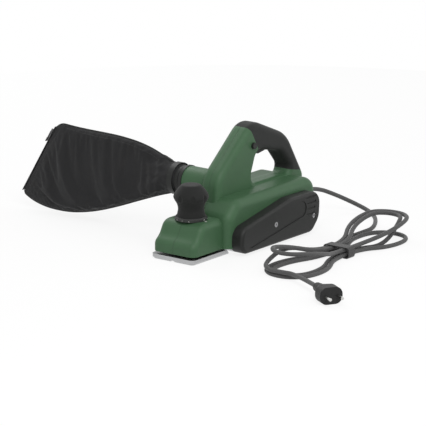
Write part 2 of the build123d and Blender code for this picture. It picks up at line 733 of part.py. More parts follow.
housing_screws = Part() + [screw(x, z, -SCREW_L / 2, SCREW_L / 2, WALL) for x, z in SCREWS]
belt_cover_screws = Part() + [
    screw(x, z, -BODY_HALF + WALL, -COVER_OUT + SCREW_SINK, SCREW_SINK - 1) for x, z in COVER_SCREWS
]
with BuildPart() as sole_screws:
    with Locations(*[(x, y, SCREW_SINK) for x, y in SOLE_SCREWS]):
        Cylinder(SCREW_R, 5 * SCREW_R, align=(Align.CENTER, Align.CENTER, Align.MIN))
        Cylinder(SCREW_HEAD_R, SCREW_SINK - 1, align=(Align.CENTER, Align.CENTER, Align.MAX))

# Depth knob with its scale ring and spindle
SCALE_Z = DECK_Z + GAP
KNOB_Z = SCALE_Z + SCALE_H
with BuildPart() as depth_knob:
    with BuildSketch(Plane.XZ):
        with BuildLine():
            Polyline(
                (KNOB_X, KNOB_Z + KNOB_H),
                (KNOB_X, KNOB_Z),
                (KNOB_X + KNOB_R - 5, KNOB_Z),
                (KNOB_X + KNOB_R - 7, KNOB_Z + KNOB_H * 0.2),
            )
            Spline(
                (KNOB_X + KNOB_R - 7, KNOB_Z + KNOB_H * 0.2),
                (KNOB_X + KNOB_R, KNOB_Z + KNOB_H * 0.62),
                (KNOB_X + KNOB_R * 0.62, KNOB_Z + KNOB_H * 0.95),
                (KNOB_X, KNOB_Z + KNOB_H),
                tangents=((0, 1), (-1, 0)),
            )
        make_face()
    revolve(axis=Axis((KNOB_X, 0, 0), (0, 0, 1)))
    with Locations((KNOB_X, 0, KNOB_Z + KNOB_H * 0.3)):
        with PolarLocations(KNOB_R + KNOB_R * 0.12, KNOB_LOBES):
            Cylinder(
                KNOB_R * 0.2, KNOB_H, align=(Align.CENTER, Align.CENTER, Align.MIN), mode=Mode.SUBTRACT
            )
    with Locations((KNOB_X, 0, KNOB_Z)):
        Cylinder(
            SPINDLE_R, KNOB_H / 2, align=(Align.CENTER, Align.CENTER, Align.MIN), mode=Mode.SUBTRACT
        )
with BuildPart() as depth_scale:
    with Locations((KNOB_X, 0, SCALE_Z)):
        Cylinder(SCALE_R, SCALE_H, align=(Align.CENTER, Align.CENTER, Align.MIN))
    chamfer(depth_scale.faces().sort_by(Axis.Z)[-1].edges(), length=1.5)
    with Locations((KNOB_X, 0, KNOB_Z)):
        Hole(SPINDLE_R)
with BuildPart() as depth_spindle:
    SPINDLE_Z = SOLE_T + CUT_MAX + REST
    with Locations((KNOB_X, 0, SPINDLE_Z)):
        Cylinder(
            SPINDLE_R, KNOB_Z + KNOB_H / 2 - SPINDLE_Z, align=(Align.CENTER, Align.CENTER, Align.MIN)
        )

# Trigger with its pin, lock button and switch
with BuildPart() as trigger:
    with BuildSketch(side(TRIGGER_HALF)):
        with BuildLine():
            rounded(
                [
                    ((TRIGGER_X, underside(TRIGGER_X) + 3), 1),
                    ((TRIGGER_X + 1, underside(TRIGGER_X) - 6), 2),
                    ((TRIGGER_X + 10, underside(TRIGGER_X) - TRIGGER_DROP), 8),
                    ((TRIGGER_END - 5, underside(TRIGGER_END)), 4),
                    ((TRIGGER_END, underside(TRIGGER_END) + 3), 2),
                    ((TRIGGER_END - 1, PIN_Z + 4), 2),
                ]
            )
        make_face()
    extrude(amount=2 * TRIGGER_HALF)
    bore(PIN_X, PIN_Z, PIN_R + FIT, -HANDLE_HALF, HANDLE_HALF)
trigger_pin = turned(PIN_X, PIN_Z, -TRIGGER_HALF - 2 * WALL, TRIGGER_HALF + 2 * WALL, PIN_R)
lock_button = turned(BUTTON_X, BUTTON_Z, -HANDLE_HALF - BUTTON_OUT, -BUTTON_IN, BUTTON_R)
switch_body = bar(
    SWITCH_X + FIT, SWITCH_X + SWITCH_L - FIT, SWITCH_Z + FIT, SWITCH_Z + SWITCH_H - FIT, SWITCH_HALF - FIT
)

# Bag adaptor, bag and clamp band
NECK_END = PORT_OUT + ADAPTOR_L
BAG_START = NECK_END - NECK_GRIP
with BuildPart() as bag_adaptor:
    with BuildSketch(Plane(origin=(PORT_X, 0, PORT_Z), x_dir=(1, 0, 0), z_dir=(0, 0, 1))):
        with BuildLine():
            Polyline(
                (NECK_R - 5, PORT_OUT - 20),
                (PORT_R - FIT, PORT_OUT - 20),
                (PORT_R - FIT, PORT_OUT),
                (PORT_R + WALL + 1, PORT_OUT),
                (PORT_R + WALL + 1, PORT_OUT + 5),
                (NECK_R, PORT_OUT + 9),
                (NECK_R, NECK_END),
                (NECK_R - 2, NECK_END),
                (NECK_R - 3, PORT_OUT + 9),
                close=True,
            )
        make_face()
    revolve(axis=Axis((PORT_X, 0, PORT_Z), (0, 1, 0)))


def bag_plane(y, z, lean):
    """Cross-section plane of the bag, leaning back from upright by the given angle."""
    normal = (0, cos(radians(lean)), sin(radians(lean)))
    return Plane(origin=(PORT_X, y, z), x_dir=(1, 0, 0), z_dir=normal)


SEAM_TALL = sqrt((BAG_END - BAG_TOP) ** 2 + (BAG_TOP_Z - BAG_END_Z) ** 2)
SEAM_LEAN = Vector(BAG_TOP_Z - BAG_END_Z, BAG_END - BAG_TOP).get_angle(Vector(1, 0))
BAG_SECTIONS = [
    (bag_plane(NECK_END, PORT_Z, 0), 2 * NECK_R + BAG_WALL, 2 * NECK_R + BAG_WALL),
    (bag_plane(BAG_SHOULDER, BAG_SHOULDER_Z, SEAM_LEAN / 6), BAG_T, BAG_SHOULDER_TALL),
    (bag_plane(BAG_BELLY, BAG_BELLY_Z, SEAM_LEAN / 3), BAG_T, BAG_BELLY_TALL),
    (
        bag_plane((BAG_TOP + BAG_END) / 2, (BAG_TOP_Z + BAG_END_Z) / 2, SEAM_LEAN),
        BAG_SEAM_T,
        SEAM_TALL,
    ),
]
with BuildPart() as chip_bag:
    for plane, thick, tall in BAG_SECTIONS:
        with BuildSketch(plane):
            with BuildLine():
                for start in (-90, 90):
                    EllipticalCenterArc((0, 0), thick / 2, tall / 2, start, arc_size=180)
            make_face()
    loft()
    with BuildSketch(bag_plane(BAG_START, PORT_Z, 0)):
        Circle(NECK_R + BAG_WALL)
    extrude(amount=NECK_GRIP)
    with BuildSketch(bag_plane(BAG_START, PORT_Z, 0)):
        Circle(NECK_R + FIT)
    extrude(amount=NECK_GRIP + WALL, mode=Mode.SUBTRACT)
bag_clamp = turned(
    PORT_X, PORT_Z, BAG_START + 3, BAG_START + 13, NECK_R + BAG_WALL + BAG_WALL / 2, NECK_R + BAG_WALL
)

# Cord guard at the rear of the handle
GUARD_END = BODY_REAR + GUARD_L
guard_ribs = []
for rib in range(GUARD_RIBS):
    rib_x = BODY_REAR + 16 + rib * (GUARD_L - 18) / GUARD_RIBS
    rib_r = GUARD_R - (GUARD_R - CORD_R - 1.4) * (rib + 1) / GUARD_RIBS
    guard_ribs += [(rib_x, rib_r - 0.8), (rib_x + 2, rib_r - 0.8), (rib_x + 2, rib_r), (rib_x + 4, rib_r)]
with BuildPart() as cord_guard:
    with BuildSketch(Plane(origin=(0, 0, CORD_Z), x_dir=(1, 0, 0), z_dir=(0, -1, 0))):
        with BuildLine():
            Polyline(
                (BODY_REAR - 20, 0),
                (BODY_REAR - 20, GUARD_R),
                (BODY_REAR - 16, GUARD_R),
                (BODY_REAR - 16, GUARD_R + WALL - 1),
                (BODY_REAR - 16 + WALL, GUARD_R + WALL - 1),
                (BODY_REAR - 16 + WALL, GUARD_R),
                (BODY_REAR + 14, GUARD_R),
                *guard_ribs,
                (GUARD_END, CORD_R + 1.2),
                (GUARD_END, 0),
                close=True,
            )
        make_face()
    revolve(axis=Axis((0, 0, CORD_Z), (1, 0, 0)))


def cord_radii(points):
    """Largest tangent arcs that the runs on both sides of each inner point allow."""
    radii = []
    for before, at, after in zip(points, points[1:], points[2:]):
        run_in = Vector(*at) - Vector(*before)
        run_out = Vector(*after) - Vector(*at)
        turn = radians(run_in.get_angle(run_out))
        radii.append(0.45 * min(run_in.length, run_out.length) / tan(turn / 2))
    return radii


def cord(name, points):
    """Round cord along straight runs joined by tangent arcs."""
    radii = cord_radii(points)
    with BuildPart() as tube:
        with BuildLine() as route:
            FilletPolyline(*points, radius=radii)
        with BuildSketch(Plane(origin=route.wire() @ 0, z_dir=route.wire() % 0)) as section:
            Circle(CORD_R)
        sweep(section.sketch, path=route.wire())
    length = route.wire().length
    print(name, "length", round(length), "radii", [round(r) for r in radii])
    print(name, "volume over section times length", round(tube.part.volume / (pi * CORD_R**2 * length), 4))
    return tube.part


# Hank of the lead: loops drawn in at the waist, in two layers
STEP_UP = 2 * CORD_R + HANK_GAP
WAIST_PITCH = 2 * CORD_R + HANK_GAP
STATIONS = [
    (1, 1, (-1, 0, 0)),
    (0, 1, (-1, 0, 0)),
    (-1, 1, (-1, 0, 0)),
    (-1, 0, (0, -1, 0)),
    (-1, -1, (1, 0, 0)),
    (0, -1, (1, 0, 0)),
    (1, -1, (1, 0, 0)),
    (1, 0, (0, 1, 0)),
]
PER_TURN = len(STATIONS)


def hank_station(k):
    """Centre point and direction of the cord at the k-th station of the winding."""
    along, across, heading = STATIONS[k % PER_TURN]
    upper = k >= HANK_TURNS * PER_TURN - 2
    spread = k / PER_TURN - HANK_TURNS + 0.5 if upper else HANK_TURNS - k / PER_TURN
    z = CORD_R + (STEP_UP if upper else 0)
    if along == 0:
        y = across * (HANK_WAIST + spread * WAIST_PITCH)
        z += TIE_T + GAP
    else:
        y = across * (HANK_END_R + spread * HANK_PITCH)
        z += HANK_LIFT if upper and k < HANK_LAST else 0
    x = along * HANK_C
    if across == 0:
        x += along * (HANK_END_R + spread * HANK_PITCH)
    return Vector(HANK_X + x, HANK_Y + y, z), Vector(*heading)


def biarc_joint(start, start_dir, end, end_dir):
    """Point where two tangent arcs between the given ends meet."""
    chord = end - start
    both = start_dir + end_dir
    part = chord.dot(both)
    bend = 2 * (1 - start_dir.dot(end_dir))
    if bend < 1e-9:
        reach = chord.dot(chord) / (4 * chord.dot(end_dir))
    else:
        reach = (sqrt(part**2 + bend * chord.dot(chord)) - part) / bend
    return (start + start_dir * reach + end - end_dir * reach) * 0.5


stations = [hank_station(k) for k in range(HANK_LAST + 1)]
hank_first = stations[0][0] - stations[0][1] * (2 * CORD_R)
hank_end = stations[-1][0] + stations[-1][1] * (2 * CORD_R)
with BuildPart() as cord_hank:
    with BuildLine() as winding:
        Line(hank_first, stations[0][0])
        for (here, heading), (there, leaving) in zip(stations, stations[1:]):
            joint = biarc_joint(here, heading, there, leaving)
            first_arc = TangentArc(here, joint, tangent=heading)
            TangentArc(joint, there, tangent=first_arc % 1)
        Line(stations[-1][0], hank_end)
    with BuildSketch(Plane(origin=hank_first, z_dir=stations[0][1])):
        Circle(CORD_R)
    sweep(path=winding.wire())
hank_length = winding.wire().length
hank_points = [winding.wire() @ (i / HANK_SAMPLES) for i in range(HANK_SAMPLES + 1)]
apart = int(8 * CORD_R / (hank_length / HANK_SAMPLES))
least = min(
    (hank_points[i] - hank_points[j]).length
    for i in range(HANK_SAMPLES)
    for j in range(i + apart, HANK_SAMPLES + 1)
)
print("hank length", round(hank_length), "least gap to itself", round(least - 2 * CORD_R, 2))

# Band round the waist of the hank
TIE_HALF = HANK_WAIST + HANK_TURNS * WAIST_PITCH + CORD_R + GAP
TIE_TALL = STEP_UP + 2 * CORD_R + 2 * GAP
with BuildPart() as cord_tie:
    with BuildSketch(Plane.YZ.offset(HANK_X - TIE_W / 2)):
        with Locations((HANK_Y, TIE_T + TIE_TALL / 2)):
            RectangleRounded(2 * TIE_HALF + 2 * TIE_T, TIE_TALL + 2 * TIE_T, CORD_R + GAP + TIE_T)
            RectangleRounded(2 * TIE_HALF, TIE_TALL, CORD_R + GAP, mode=Mode.SUBTRACT)
    extrude(amount=TIE_W)

# Free stretches of the lead, from the guard to the hank and from the hank to the plug
mains_cord = cord(
    "mains_cord",
    [
        (GUARD_END, 0, CORD_Z),
        (GUARD_END + 26, 0, CORD_Z - 3),
        (GUARD_END + 55, -15, 27),
        (GUARD_END + 70, -46, 13),
        (GUARD_END + 65, -78, 6),
        (GUARD_END + 38, -108, 4),
        (hank_first.X + 34, hank_first.Y, CORD_R),
        tuple(hank_first),
    ],
)
plug_bend = Vector(hank_end.X, hank_end.Y - 30, (hank_end.Z + PLUG_TALL / 2 + GAP) / 2)
PLUG_AT = Vector(hank_end.X - 39, hank_end.Y - 95, PLUG_TALL / 2 + GAP)
PLUG_DIR = Vector(PLUG_AT.X - plug_bend.X, PLUG_AT.Y - plug_bend.Y, 0).normalized()
plug_lead = cord(
    "plug_lead",
    [
        tuple(hank_end),
        tuple(plug_bend),
        tuple(PLUG_AT),
    ],
)

# Two-pin mains plug, lying on the floor
plug_plane = Plane(origin=PLUG_AT, x_dir=Vector(0, 0, 1).cross(PLUG_DIR), z_dir=PLUG_DIR)
with BuildPart() as plug_body:
    with BuildSketch(plug_plane):
        RectangleRounded(4 * CORD_R, 4 * CORD_R, CORD_R * 1.9)
    with BuildSketch(plug_plane.offset(PLUG_TAIL)):
        RectangleRounded(5 * CORD_R, 5 * CORD_R, CORD_R * 2.4)
    with BuildSketch(plug_plane.offset(PLUG_TAIL + PLUG_L / 2)):
        RectangleRounded(PLUG_W, PLUG_TALL, PLUG_TALL * 0.45)
    with BuildSketch(plug_plane.offset(PLUG_TAIL + PLUG_L)):
        RectangleRounded(PLUG_W, PLUG_TALL, PLUG_TALL * 0.45)
    loft(ruled=True)
with BuildPart() as plug_pins:
    with BuildSketch(plug_plane.offset(PLUG_TAIL + PLUG_L)):
        with GridLocations(PIN_SPACING, 0, 2, 1):
            Circle(PLUG_PIN_R)
    extrude(amount=PLUG_PIN_L)

pieces = {
    "housing_left": housing_left.part,
    "housing_right": housing_right.part,
    "handle_grip": handle_grip.part,
    "rear_sole": rear_sole.part,
    "front_shoe": front_shoe.part,
    "cutter_drum": cutter_drum.part,
    "planer_knives": planer_knives,
    "knife_clamps": knife_clamps,
    "drum_bearings": drum_bearings,
    "drum_pulley": drum_pulley,
    "motor_pulley": motor_pulley,
    "drive_belt": drive_belt.part,
    "motor_shaft": motor_shaft,
    "armature_core": armature_core,
    "stator": stator,
    "commutator": commutator,
    "motor_bearings": motor_bearings,
    "cooling_fan": cooling_fan.part,
    "carbon_brushes": carbon_brushes,
    "brush_holders": brush_holders,
    "belt_cover": belt_cover.part,
    "housing_screws": housing_screws,
    "belt_cover_screws": belt_cover_screws,
    "sole_screws": sole_screws.part,
    "depth_knob": depth_knob.part,
    "depth_scale": depth_scale.part,
    "depth_spindle": depth_spindle.part,
    "trigger": trigger.part,
    "trigger_pin": trigger_pin,
    "lock_button": lock_button,
    "switch_body": switch_body,
    "bag_adaptor": bag_adaptor.part,
    "chip_bag": chip_bag.part,
    "bag_clamp": bag_clamp,
    "cord_guard": cord_guard.part,
    "mains_cord": mains_cord,
    "cord_hank": cord_hank.part,
    "cord_tie": cord_tie.part,
    "plug_lead": plug_lead,
    "plug_body": plug_body.part,
    "plug_pins": plug_pins.part,
}
os.makedirs("parts", exist_ok=True)
for name, piece in pieces.items():
    piece.label = name
    export_step(piece, f"parts/{name}.step")
    print(name, round(piece.volume), len(piece.solids()), piece.is_valid)
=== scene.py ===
"""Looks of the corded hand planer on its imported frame: bag, lead, dial figures and finishes."""

import json
import logging
import math
from dataclasses import dataclass
from enum import Enum
from typing import Iterable, Sequence, Union

import bpy
from mathutils import Matrix, Vector


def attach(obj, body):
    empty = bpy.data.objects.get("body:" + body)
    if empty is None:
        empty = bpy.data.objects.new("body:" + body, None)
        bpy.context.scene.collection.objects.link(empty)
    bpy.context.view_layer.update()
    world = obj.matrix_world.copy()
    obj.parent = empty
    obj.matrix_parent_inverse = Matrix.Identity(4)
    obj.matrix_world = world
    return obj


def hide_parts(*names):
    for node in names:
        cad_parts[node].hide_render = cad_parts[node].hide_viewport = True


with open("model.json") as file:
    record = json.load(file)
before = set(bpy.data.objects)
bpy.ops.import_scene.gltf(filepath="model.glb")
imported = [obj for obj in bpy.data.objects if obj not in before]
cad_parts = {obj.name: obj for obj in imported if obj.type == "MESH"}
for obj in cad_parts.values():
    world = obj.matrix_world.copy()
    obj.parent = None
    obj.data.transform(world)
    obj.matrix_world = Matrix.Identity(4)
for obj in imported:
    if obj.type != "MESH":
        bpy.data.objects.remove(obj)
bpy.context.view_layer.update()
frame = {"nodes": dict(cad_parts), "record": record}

LOG = logging.getLogger("planer")
MM = 0.001

Colour = tuple[float, float, float]
Point = tuple[float, float, float]
Value = Union["Signal", float, tuple]

WHITE = (1.0, 1.0, 1.0, 1.0)
WAVE_PERIOD = math.tau / 20  # length of one band of a Wave texture at a scale of 1
OWN_FINISH = {"plug_body": "plug_rubber", "depth_knob": "knob_rubber"}  # unlike their slot's


class Body(Enum):
    """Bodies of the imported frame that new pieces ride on."""

    BASE = "base"
    DIAL = "dial"


class Signal:
    """Socket of a shader node that takes part in arithmetic."""

    def __init__(self, graph: "Graph", socket: bpy.types.NodeSocket) -> None:
        """Keep the socket and the graph that new nodes go into."""
        self.graph = graph
        self.socket = socket

    def _math(self, operation: str, first: Value, second: Value) -> "Signal":
        """Add one Math node on two values."""
        return self.graph.add("Math", {"operation": operation}, {0: first, 1: second})

    def __add__(self, other: Value) -> "Signal":
        """Sum."""
        return self._math("ADD", self, other)

    def __sub__(self, other: Value) -> "Signal":
        """Difference."""
        return self._math("SUBTRACT", self, other)

    def __mul__(self, other: Value) -> "Signal":
        """Product."""
        return self._math("MULTIPLY", self, other)

    def __radd__(self, other: float) -> "Signal":
        """Sum with a number on the left."""
        return self._math("ADD", other, self)

    def __rsub__(self, other: float) -> "Signal":
        """Difference from a number."""
        return self._math("SUBTRACT", other, self)

    def __rmul__(self, other: float) -> "Signal":
        """Product with a number on the left."""
        return self._math("MULTIPLY", other, self)

    def larger(self, other: Value) -> "Signal":
        """Larger of two values."""
        return self._math("MAXIMUM", self, other)

    def ramp(self, low: float, high: float) -> "Signal":
        """Rise from 0 to 1 between two values.

        Args:
            low: Value that gives 0.
            high: Value that gives 1.

        Returns:
            The clamped share.
        """
        inputs = {"Value": self, "From Min": low, "From Max": high}
        return self.graph.add("MapRange", {"clamp": True}, inputs)


class Graph:
    """Node tree of one finish or of the world."""

    EDGE_SAMPLES = 4
    EDGE_TURN = (0.02, 0.30)  # 1 minus the cosine of the turn at which an edge starts and is full

    def __init__(self, name: str, world: bpy.types.World | None = None) -> None:
        """Empty the world's tree, or that of a new material of that name."""
        self.owner = world or bpy.data.materials.new(name)
        self.owner.use_nodes = True
        self.tree = self.owner.node_tree
        self.tree.nodes.clear()
        self.place = self.add("TexCoord", output="Object")

    def add(
        self,
        kind: str,
        settings: dict | None = None,
        inputs: dict | None = None,
        output: Union[int, str] = 0,
    ) -> Signal | None:
        """Add a node, set it up and connect it.

        Args:
            kind: Node type without its ShaderNode prefix.
            settings: Attributes of the node, set before its sockets.
            inputs: Values or signals by socket name or number.
            output: Socket that the node's signal is read from.

        Returns:
            The chosen output, or None from a node that has none.
        """
        node = self.tree.nodes.new("ShaderNode" + kind)
        for name, value in (settings or {}).items():
            setattr(node, name, value)
        for key, value in (inputs or {}).items():
            if isinstance(value, Signal):
                self.tree.links.new(value.socket, node.inputs[key])
            else:
                node.inputs[key].default_value = value
        return Signal(self, node.outputs[output]) if len(node.outputs) else None

    def noise(self, scale: float, detail: float = 2.0, stretch: Point = (1.0, 1.0, 1.0)) -> Signal:
        """Noise on the object's own coordinates.

        Args:
            scale: Cells per metre.
            detail: Octaves.
            stretch: Scale of each axis.

        Returns:
            Noise from 0 to 1.
        """
        vector = self.place
        if stretch != (1.0, 1.0, 1.0):
            vector = self.add("Mapping", None, {"Vector": self.place, "Scale": stretch})
        return self.add("TexNoise", None, {"Vector": vector, "Scale": scale, "Detail": detail})

    def cells(self, scale: float) -> Signal:
        """Distance to the nearest of scattered points."""
        return self.add("TexVoronoi", None, {"Vector": self.place, "Scale": scale})

    def bands(self, pitch: float, turn: Point = (0.0, 0.0, 0.0)) -> Signal:
        """Sine bands across the turned X axis.

        Args:
            pitch: Distance from band to band in metres.
            turn: Rotation of the pattern in radians.

        Returns:
            Band height from 0 to 1.
        """
        vector = self.add("Mapping", None, {"Vector": self.place, "Rotation": turn})
        return self.add("TexWave", None, {"Vector": vector, "Scale": WAVE_PERIOD / pitch})

    def mix(self, share: Value, first: Value, second: Value) -> Signal:
        """Blend two colours.

        Args:
            share: Share of the second colour.
            first: Colour or colour signal.
            second: Colour or colour signal.

        Returns:
            The blended colour.
        """
        pair = [(*c, 1.0) if isinstance(c, tuple) else c for c in (first, second)]
        # A Mix node blends colours on its sockets 6 and 7 and gives them on its output 2.
        return self.add("Mix", {"data_type": "RGBA"}, {0: share, 6: pair[0], 7: pair[1]}, 2)

    def bump(self, height: Signal, depth: float) -> Signal:
        """Surface normal for a height pattern of that depth in metres."""
        inputs = {"Height": height, "Distance": depth, "Strength": 1.0}
        return self.add("Bump", None, inputs, "Normal")

    def edges(self, radius: float) -> Signal:
        """Mask of the edges, from how far a rounded normal leaves the true one.

        Args:
            radius: Reach of an edge in metres.

        Returns:
            1 on edges, 0 on flats.
        """
        rounded = self.add("Bevel", {"samples": self.EDGE_SAMPLES}, {"Radius": radius})
        plain = self.add("NewGeometry", output="True Normal")
        same = self.add("VectorMath", {"operation": "DOT_PRODUCT"}, {0: rounded, 1: plain}, "Value")
        return (1.0 - same).ramp(*self.EDGE_TURN)

    def close(self, inputs: dict) -> bpy.types.Material:
        """Finish the tree with a Principled shader.

        Args:
            inputs: Values or signals of the shader's sockets.

        Returns:
            The material.
        """
        shader = self.add("BsdfPrincipled", None, inputs)
        self.add("OutputMaterial", None, {"Surface": shader})
        return self.owner

    def background(self) -> Signal:
        """1 on the rays that show a background: to the camera, in reflections and through glass."""
        camera = self.add("LightPath", output="Is Camera Ray")
        glossy = self.add("LightPath", output="Is Glossy Ray")
        through = self.add("LightPath", output="Is Transmission Ray")
        return camera.larger(glossy).larger(through)


def tinted(colour: Colour, factor: float) -> Colour:
    """Colour scaled by a factor."""
    return tuple(min(1.0, channel * factor) for channel in colour)


@dataclass(frozen=True)
class MouldedPlastic:
    """Moulded plastic with a fine spark-eroded grain, rubbed edges and, if set, a parting line."""

    name: str
    colour: Colour
    roughness: float = 0.45
    grain: float = 1500.0
    depth: float = 0.06 * MM
    rub: float = 1.5
    mottle: float = 0.10
    parting: float = 0.0
    shine: float = 0.26
    cloud: float = 38.0
    cloud_gloss: float = 0.14
    edge: float = 1.2 * MM
    patch: float = 160.0
    patch_share: tuple[float, float] = (0.35, 0.7)
    worn: float = 0.55
    worn_gloss: float = 0.1
    groove_floor: float = 0.4
    groove_share: float = 0.8
    groove_tint: float = 0.25

    def make(self) -> bpy.types.Material:
        """Build the material."""
        graph = Graph(self.name)
        cloud = graph.noise(self.cloud, 3.0)
        relief = graph.noise(self.grain, 1.0) * self.depth
        wear = graph.edges(self.edge) * graph.noise(self.patch, 2.0).ramp(*self.patch_share)
        dark, light = tinted(self.colour, 1 - self.mottle), tinted(self.colour, 1 + self.mottle)
        shade = graph.mix(cloud, dark, light)
        shade = graph.mix(wear * self.worn, shade, tinted(self.colour, self.rub))
        if self.parting:
            across = graph.add("SeparateXYZ", None, {"Vector": graph.place}, "Y")
            away = across.larger(across * -1.0)
            groove = 1.0 - away.ramp(self.groove_floor * self.parting, self.parting)
            deep = tinted(self.colour, self.groove_tint)
            shade = graph.mix(groove * self.groove_share, shade, deep)
            relief = relief - groove * self.parting
        gloss = self.cloud_gloss * (cloud - 0.5) - self.worn_gloss * wear
        return graph.close(
            {
                "Base Color": shade,
                "Roughness": self.roughness + gloss,
                "Normal": graph.bump(relief, 1.0),
                "Specular IOR Level": self.shine,
            }
        )


@dataclass(frozen=True)
class SoftRubber:
    """Soft rubber with a pebbled skin and a dusty sheen."""

    name: str
    colour: Colour
    roughness: float = 0.62
    pebble: float = 900.0
    depth: float = 0.12 * MM
    cloud: float = 55.0
    cloud_tints: tuple[float, float] = (0.85, 1.2)
    cloud_gloss: float = 0.12
    edge: float = 1.6 * MM
    dust: float = 0.5
    dust_tint: float = 2.0

    def make(self) -> bpy.types.Material:
        """Build the material."""
        graph = Graph(self.name)
        cloud = graph.noise(self.cloud, 3.0)
        dust = graph.edges(self.edge) * self.dust
        shade = graph.mix(cloud, *(tinted(self.colour, tint) for tint in self.cloud_tints))
        return graph.close(
            {
                "Base Color": graph.mix(dust, shade, tinted(self.colour, self.dust_tint)),
                "Roughness": self.roughness + self.cloud_gloss * cloud,
                "Normal": graph.bump(graph.cells(self.pebble), self.depth),
                "Specular IOR Level": 0.22,
                "Sheen Weight": 0.08,
            }
        )


@dataclass(frozen=True)
class WorkedMetal:
    """Metal with the marks of its tool along one direction and bright edges."""

    name: str
    colour: Colour
    roughness: float = 0.32
    marks: Point = (12.0, 700.0, 700.0)
    depth: float = 0.03 * MM
    cloud: float = 45.0
    line_share: float = 0.6
    line_gloss: float = 0.2
    cloud_gloss: float = 0.1
    tints: tuple[float, float] = (0.82, 1.12)
    edge: float = 0.9 * MM
    edge_share: float = 0.6
    edge_tint: float = 1.35

    def make(self) -> bpy.types.Material:
        """Build the material."""
        graph = Graph(self.name)
        lines = graph.noise(1.0, 3.0, self.marks)
        cloud = graph.noise(self.cloud, 3.0)
        bright = graph.edges(self.edge) * self.edge_share
        both = lines * self.line_share + cloud * (1.0 - self.line_share)
        shade = graph.mix(both, *(tinted(self.colour, tint) for tint in self.tints))
        gloss = self.line_gloss * (lines - 0.5) + self.cloud_gloss * (cloud - 0.5)
        return graph.close(
            {
                "Base Color": graph.mix(bright, shade, tinted(self.colour, self.edge_tint)),
                "Metallic": 1.0,
                "Roughness": self.roughness + gloss,
                "Normal": graph.bump(lines, self.depth),
            }
        )


@dataclass(frozen=True)
class WovenCloth:
    """Plain-woven synthetic cloth with a faint sheen and a little dust in its folds."""

    name: str
    colour: Colour
    dust: Colour
    pitch: float = 1.4 * MM
    lean: float = 0.0
    depth: float = 0.3 * MM
    cloud: float = 22.0
    thread_share: float = 0.75
    tints: tuple[float, float] = (0.5, 1.5)
    dust_range: tuple[float, float] = (0.55, 0.95)
    dust_share: float = 0.25
    roughness: float = 0.74
    cloud_gloss: float = 0.16

    def make(self) -> bpy.types.Material:
        """Build the material."""
        graph = Graph(self.name)
        warp = graph.bands(self.pitch, (self.lean, 0.0, math.pi / 2))
        weft = graph.bands(self.pitch, (self.lean, math.pi / 2, 0.0))
        thread = warp.larger(weft)
        cloud = graph.noise(self.cloud, 4.0)
        both = thread * self.thread_share + cloud * (1.0 - self.thread_share)
        shade = graph.mix(both, *(tinted(self.colour, tint) for tint in self.tints))
        dusty = cloud.ramp(*self.dust_range) * self.dust_share
        return graph.close(
            {
                "Base Color": graph.mix(dusty, shade, self.dust),
                "Roughness": self.roughness + self.cloud_gloss * cloud,
                "Normal": graph.bump(thread, self.depth),
                "Specular IOR Level": 0.2,
                "Sheen Weight": 0.10,
                "Sheen Roughness": 0.45,
            }
        )


